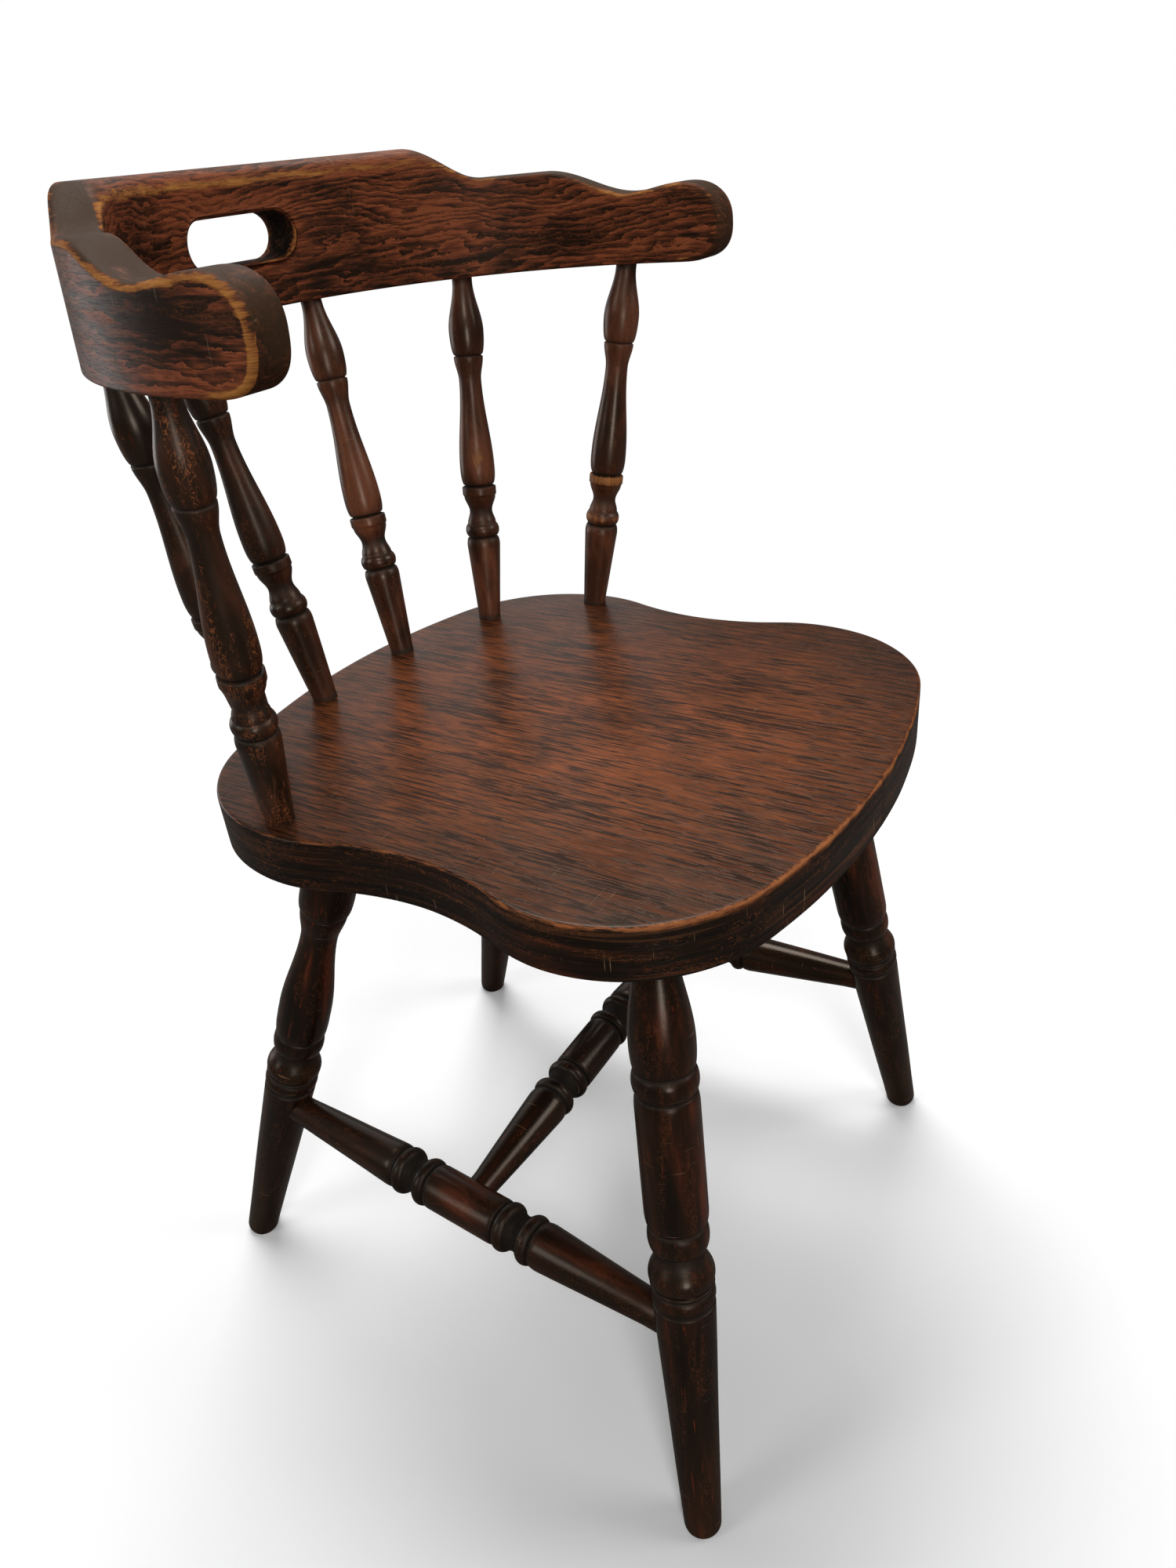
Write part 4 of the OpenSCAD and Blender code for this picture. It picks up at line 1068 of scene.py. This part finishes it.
def floor_material(name):
    """Pale paper that keeps the shadow near the chair and turns plain white away from it."""
    n = Nodes(name)
    seen = n.put("ShaderNodeLightPath").outputs["Is Camera Ray"]
    shader = n.put("ShaderNodeBsdfPrincipled", None,
                   {"Base Color": n.mix(seen, FLOOR_BOUNCE, FLOOR_SEEN), "Roughness": 0.9,
                    "Specular IOR Level": 0.1})
    reach = n.length(n.put("ShaderNodeTexCoord").outputs["Object"])
    white = n.put("ShaderNodeEmission", None, {"Color": WHITE, "Strength": 1.0})
    fade = n.calc("MULTIPLY", n.remap(reach, FADE_START, FADE_END), seen)
    both = n.put("ShaderNodeMixShader", None, {0: fade, 1: shader.outputs[0], 2: white.outputs[0]})
    out = n.put("ShaderNodeOutputMaterial")
    n.tree.links.new(both.outputs[0], out.inputs[0])
    return n.material


floor_mesh = bpy.data.meshes.new("floor")
floor_mesh.from_pydata([(-FLOOR_HALF, -FLOOR_HALF, 0), (FLOOR_HALF, -FLOOR_HALF, 0),
                        (FLOOR_HALF, FLOOR_HALF, 0), (-FLOOR_HALF, FLOOR_HALF, 0)], [], [(0, 1, 2, 3)])
floor_mesh.materials.append(floor_material("floor_paper"))
floor = bpy.data.objects.new("floor", floor_mesh)
bpy.context.scene.collection.objects.link(floor)
floor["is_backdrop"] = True

world = bpy.data.worlds.new("studio")
world.use_nodes = True
bpy.context.scene.world = world
tree = world.node_tree
tree.nodes.clear()
path = tree.nodes.new("ShaderNodeLightPath")
blend = tree.nodes.new("ShaderNodeMixShader")
tree.links.new(path.outputs["Is Camera Ray"], blend.inputs[0])
for socket, strength in ((1, WORLD_LIGHT), (2, WORLD_SEEN)):
    background = tree.nodes.new("ShaderNodeBackground")
    background.inputs["Color"].default_value = WHITE
    background.inputs["Strength"].default_value = strength
    tree.links.new(background.outputs[0], blend.inputs[socket])
out = tree.nodes.new("ShaderNodeOutputWorld")
tree.links.new(blend.outputs[0], out.inputs[0])


SEAT_MIDDLE = (0.0, 0.0, 0.45)


def area_light(name, place, size, power):
    """A soft lamp that faces the middle of the seat: place and size in metres, power in watts."""
    lamp = bpy.data.lights.new(name, "AREA")
    lamp.shape = "RECTANGLE"
    lamp.size, lamp.size_y = size
    lamp.energy = power
    light = bpy.data.objects.new(name, lamp)
    light.location = place
    light.rotation_mode = "QUATERNION"
    light.rotation_quaternion = (Vector(SEAT_MIDDLE) - Vector(place)).to_track_quat("-Z", "Y")
    bpy.context.scene.collection.objects.link(light)


area_light("overhead", (1.0, 0.8, 3.5), (2.0, 2.0), 98)
area_light("back_wall", (2.3, 2.9, 1.5), (3.4, 2.0), 11)
area_light("back_left", (-0.2, 2.8, 0.7), (1.2, 1.2), 10)
area_light("left_window", (-2.6, 1.6, 1.9), (1.0, 1.4), 18)
area_light("right_window", (1.5, -2.8, 2.1), (1.4, 1.4), 30)
area_light("fill", (-1.9, -1.5, 2.8), (0.7, 0.7), 24)
area_light("low_window", (-1.7, -1.6, 0.75), (0.5, 0.7), 11)

# The viewing angle: place in metres, turn and tilt in degrees
CAMERA_PLACE = (-0.5292, -0.3905, 0.7702)
CAMERA_YAW, CAMERA_PITCH, CAMERA_ROLL = -56.247, -30.229, -5.533
CAMERA_LENS, CAMERA_SENSOR, CAMERA_NEAR = 25.56, 36.0, 0.02

camera_data = bpy.data.cameras.new("camera")
camera_data.lens = CAMERA_LENS
camera_data.sensor_width = CAMERA_SENSOR
camera_data.sensor_fit = "AUTO"
camera_data.clip_start = CAMERA_NEAR
camera = bpy.data.objects.new("camera", camera_data)
yaw, pitch, roll_angle = (math.radians(v) for v in (CAMERA_YAW, CAMERA_PITCH, CAMERA_ROLL))
ahead = Vector((-math.sin(yaw) * math.cos(pitch), math.cos(yaw) * math.cos(pitch), math.sin(pitch)))
level = Vector((math.cos(yaw), math.sin(yaw), 0))
upright = level.cross(ahead)
right = level * math.cos(roll_angle) + upright * math.sin(roll_angle)
up = upright * math.cos(roll_angle) - level * math.sin(roll_angle)
camera.matrix_world = Matrix.Translation(CAMERA_PLACE) @ Matrix((right, up, -ahead)).transposed().to_4x4()
bpy.context.scene.collection.objects.link(camera)
bpy.context.scene.camera = camera
bpy.context.scene.view_settings.view_transform = "Standard"

low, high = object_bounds()
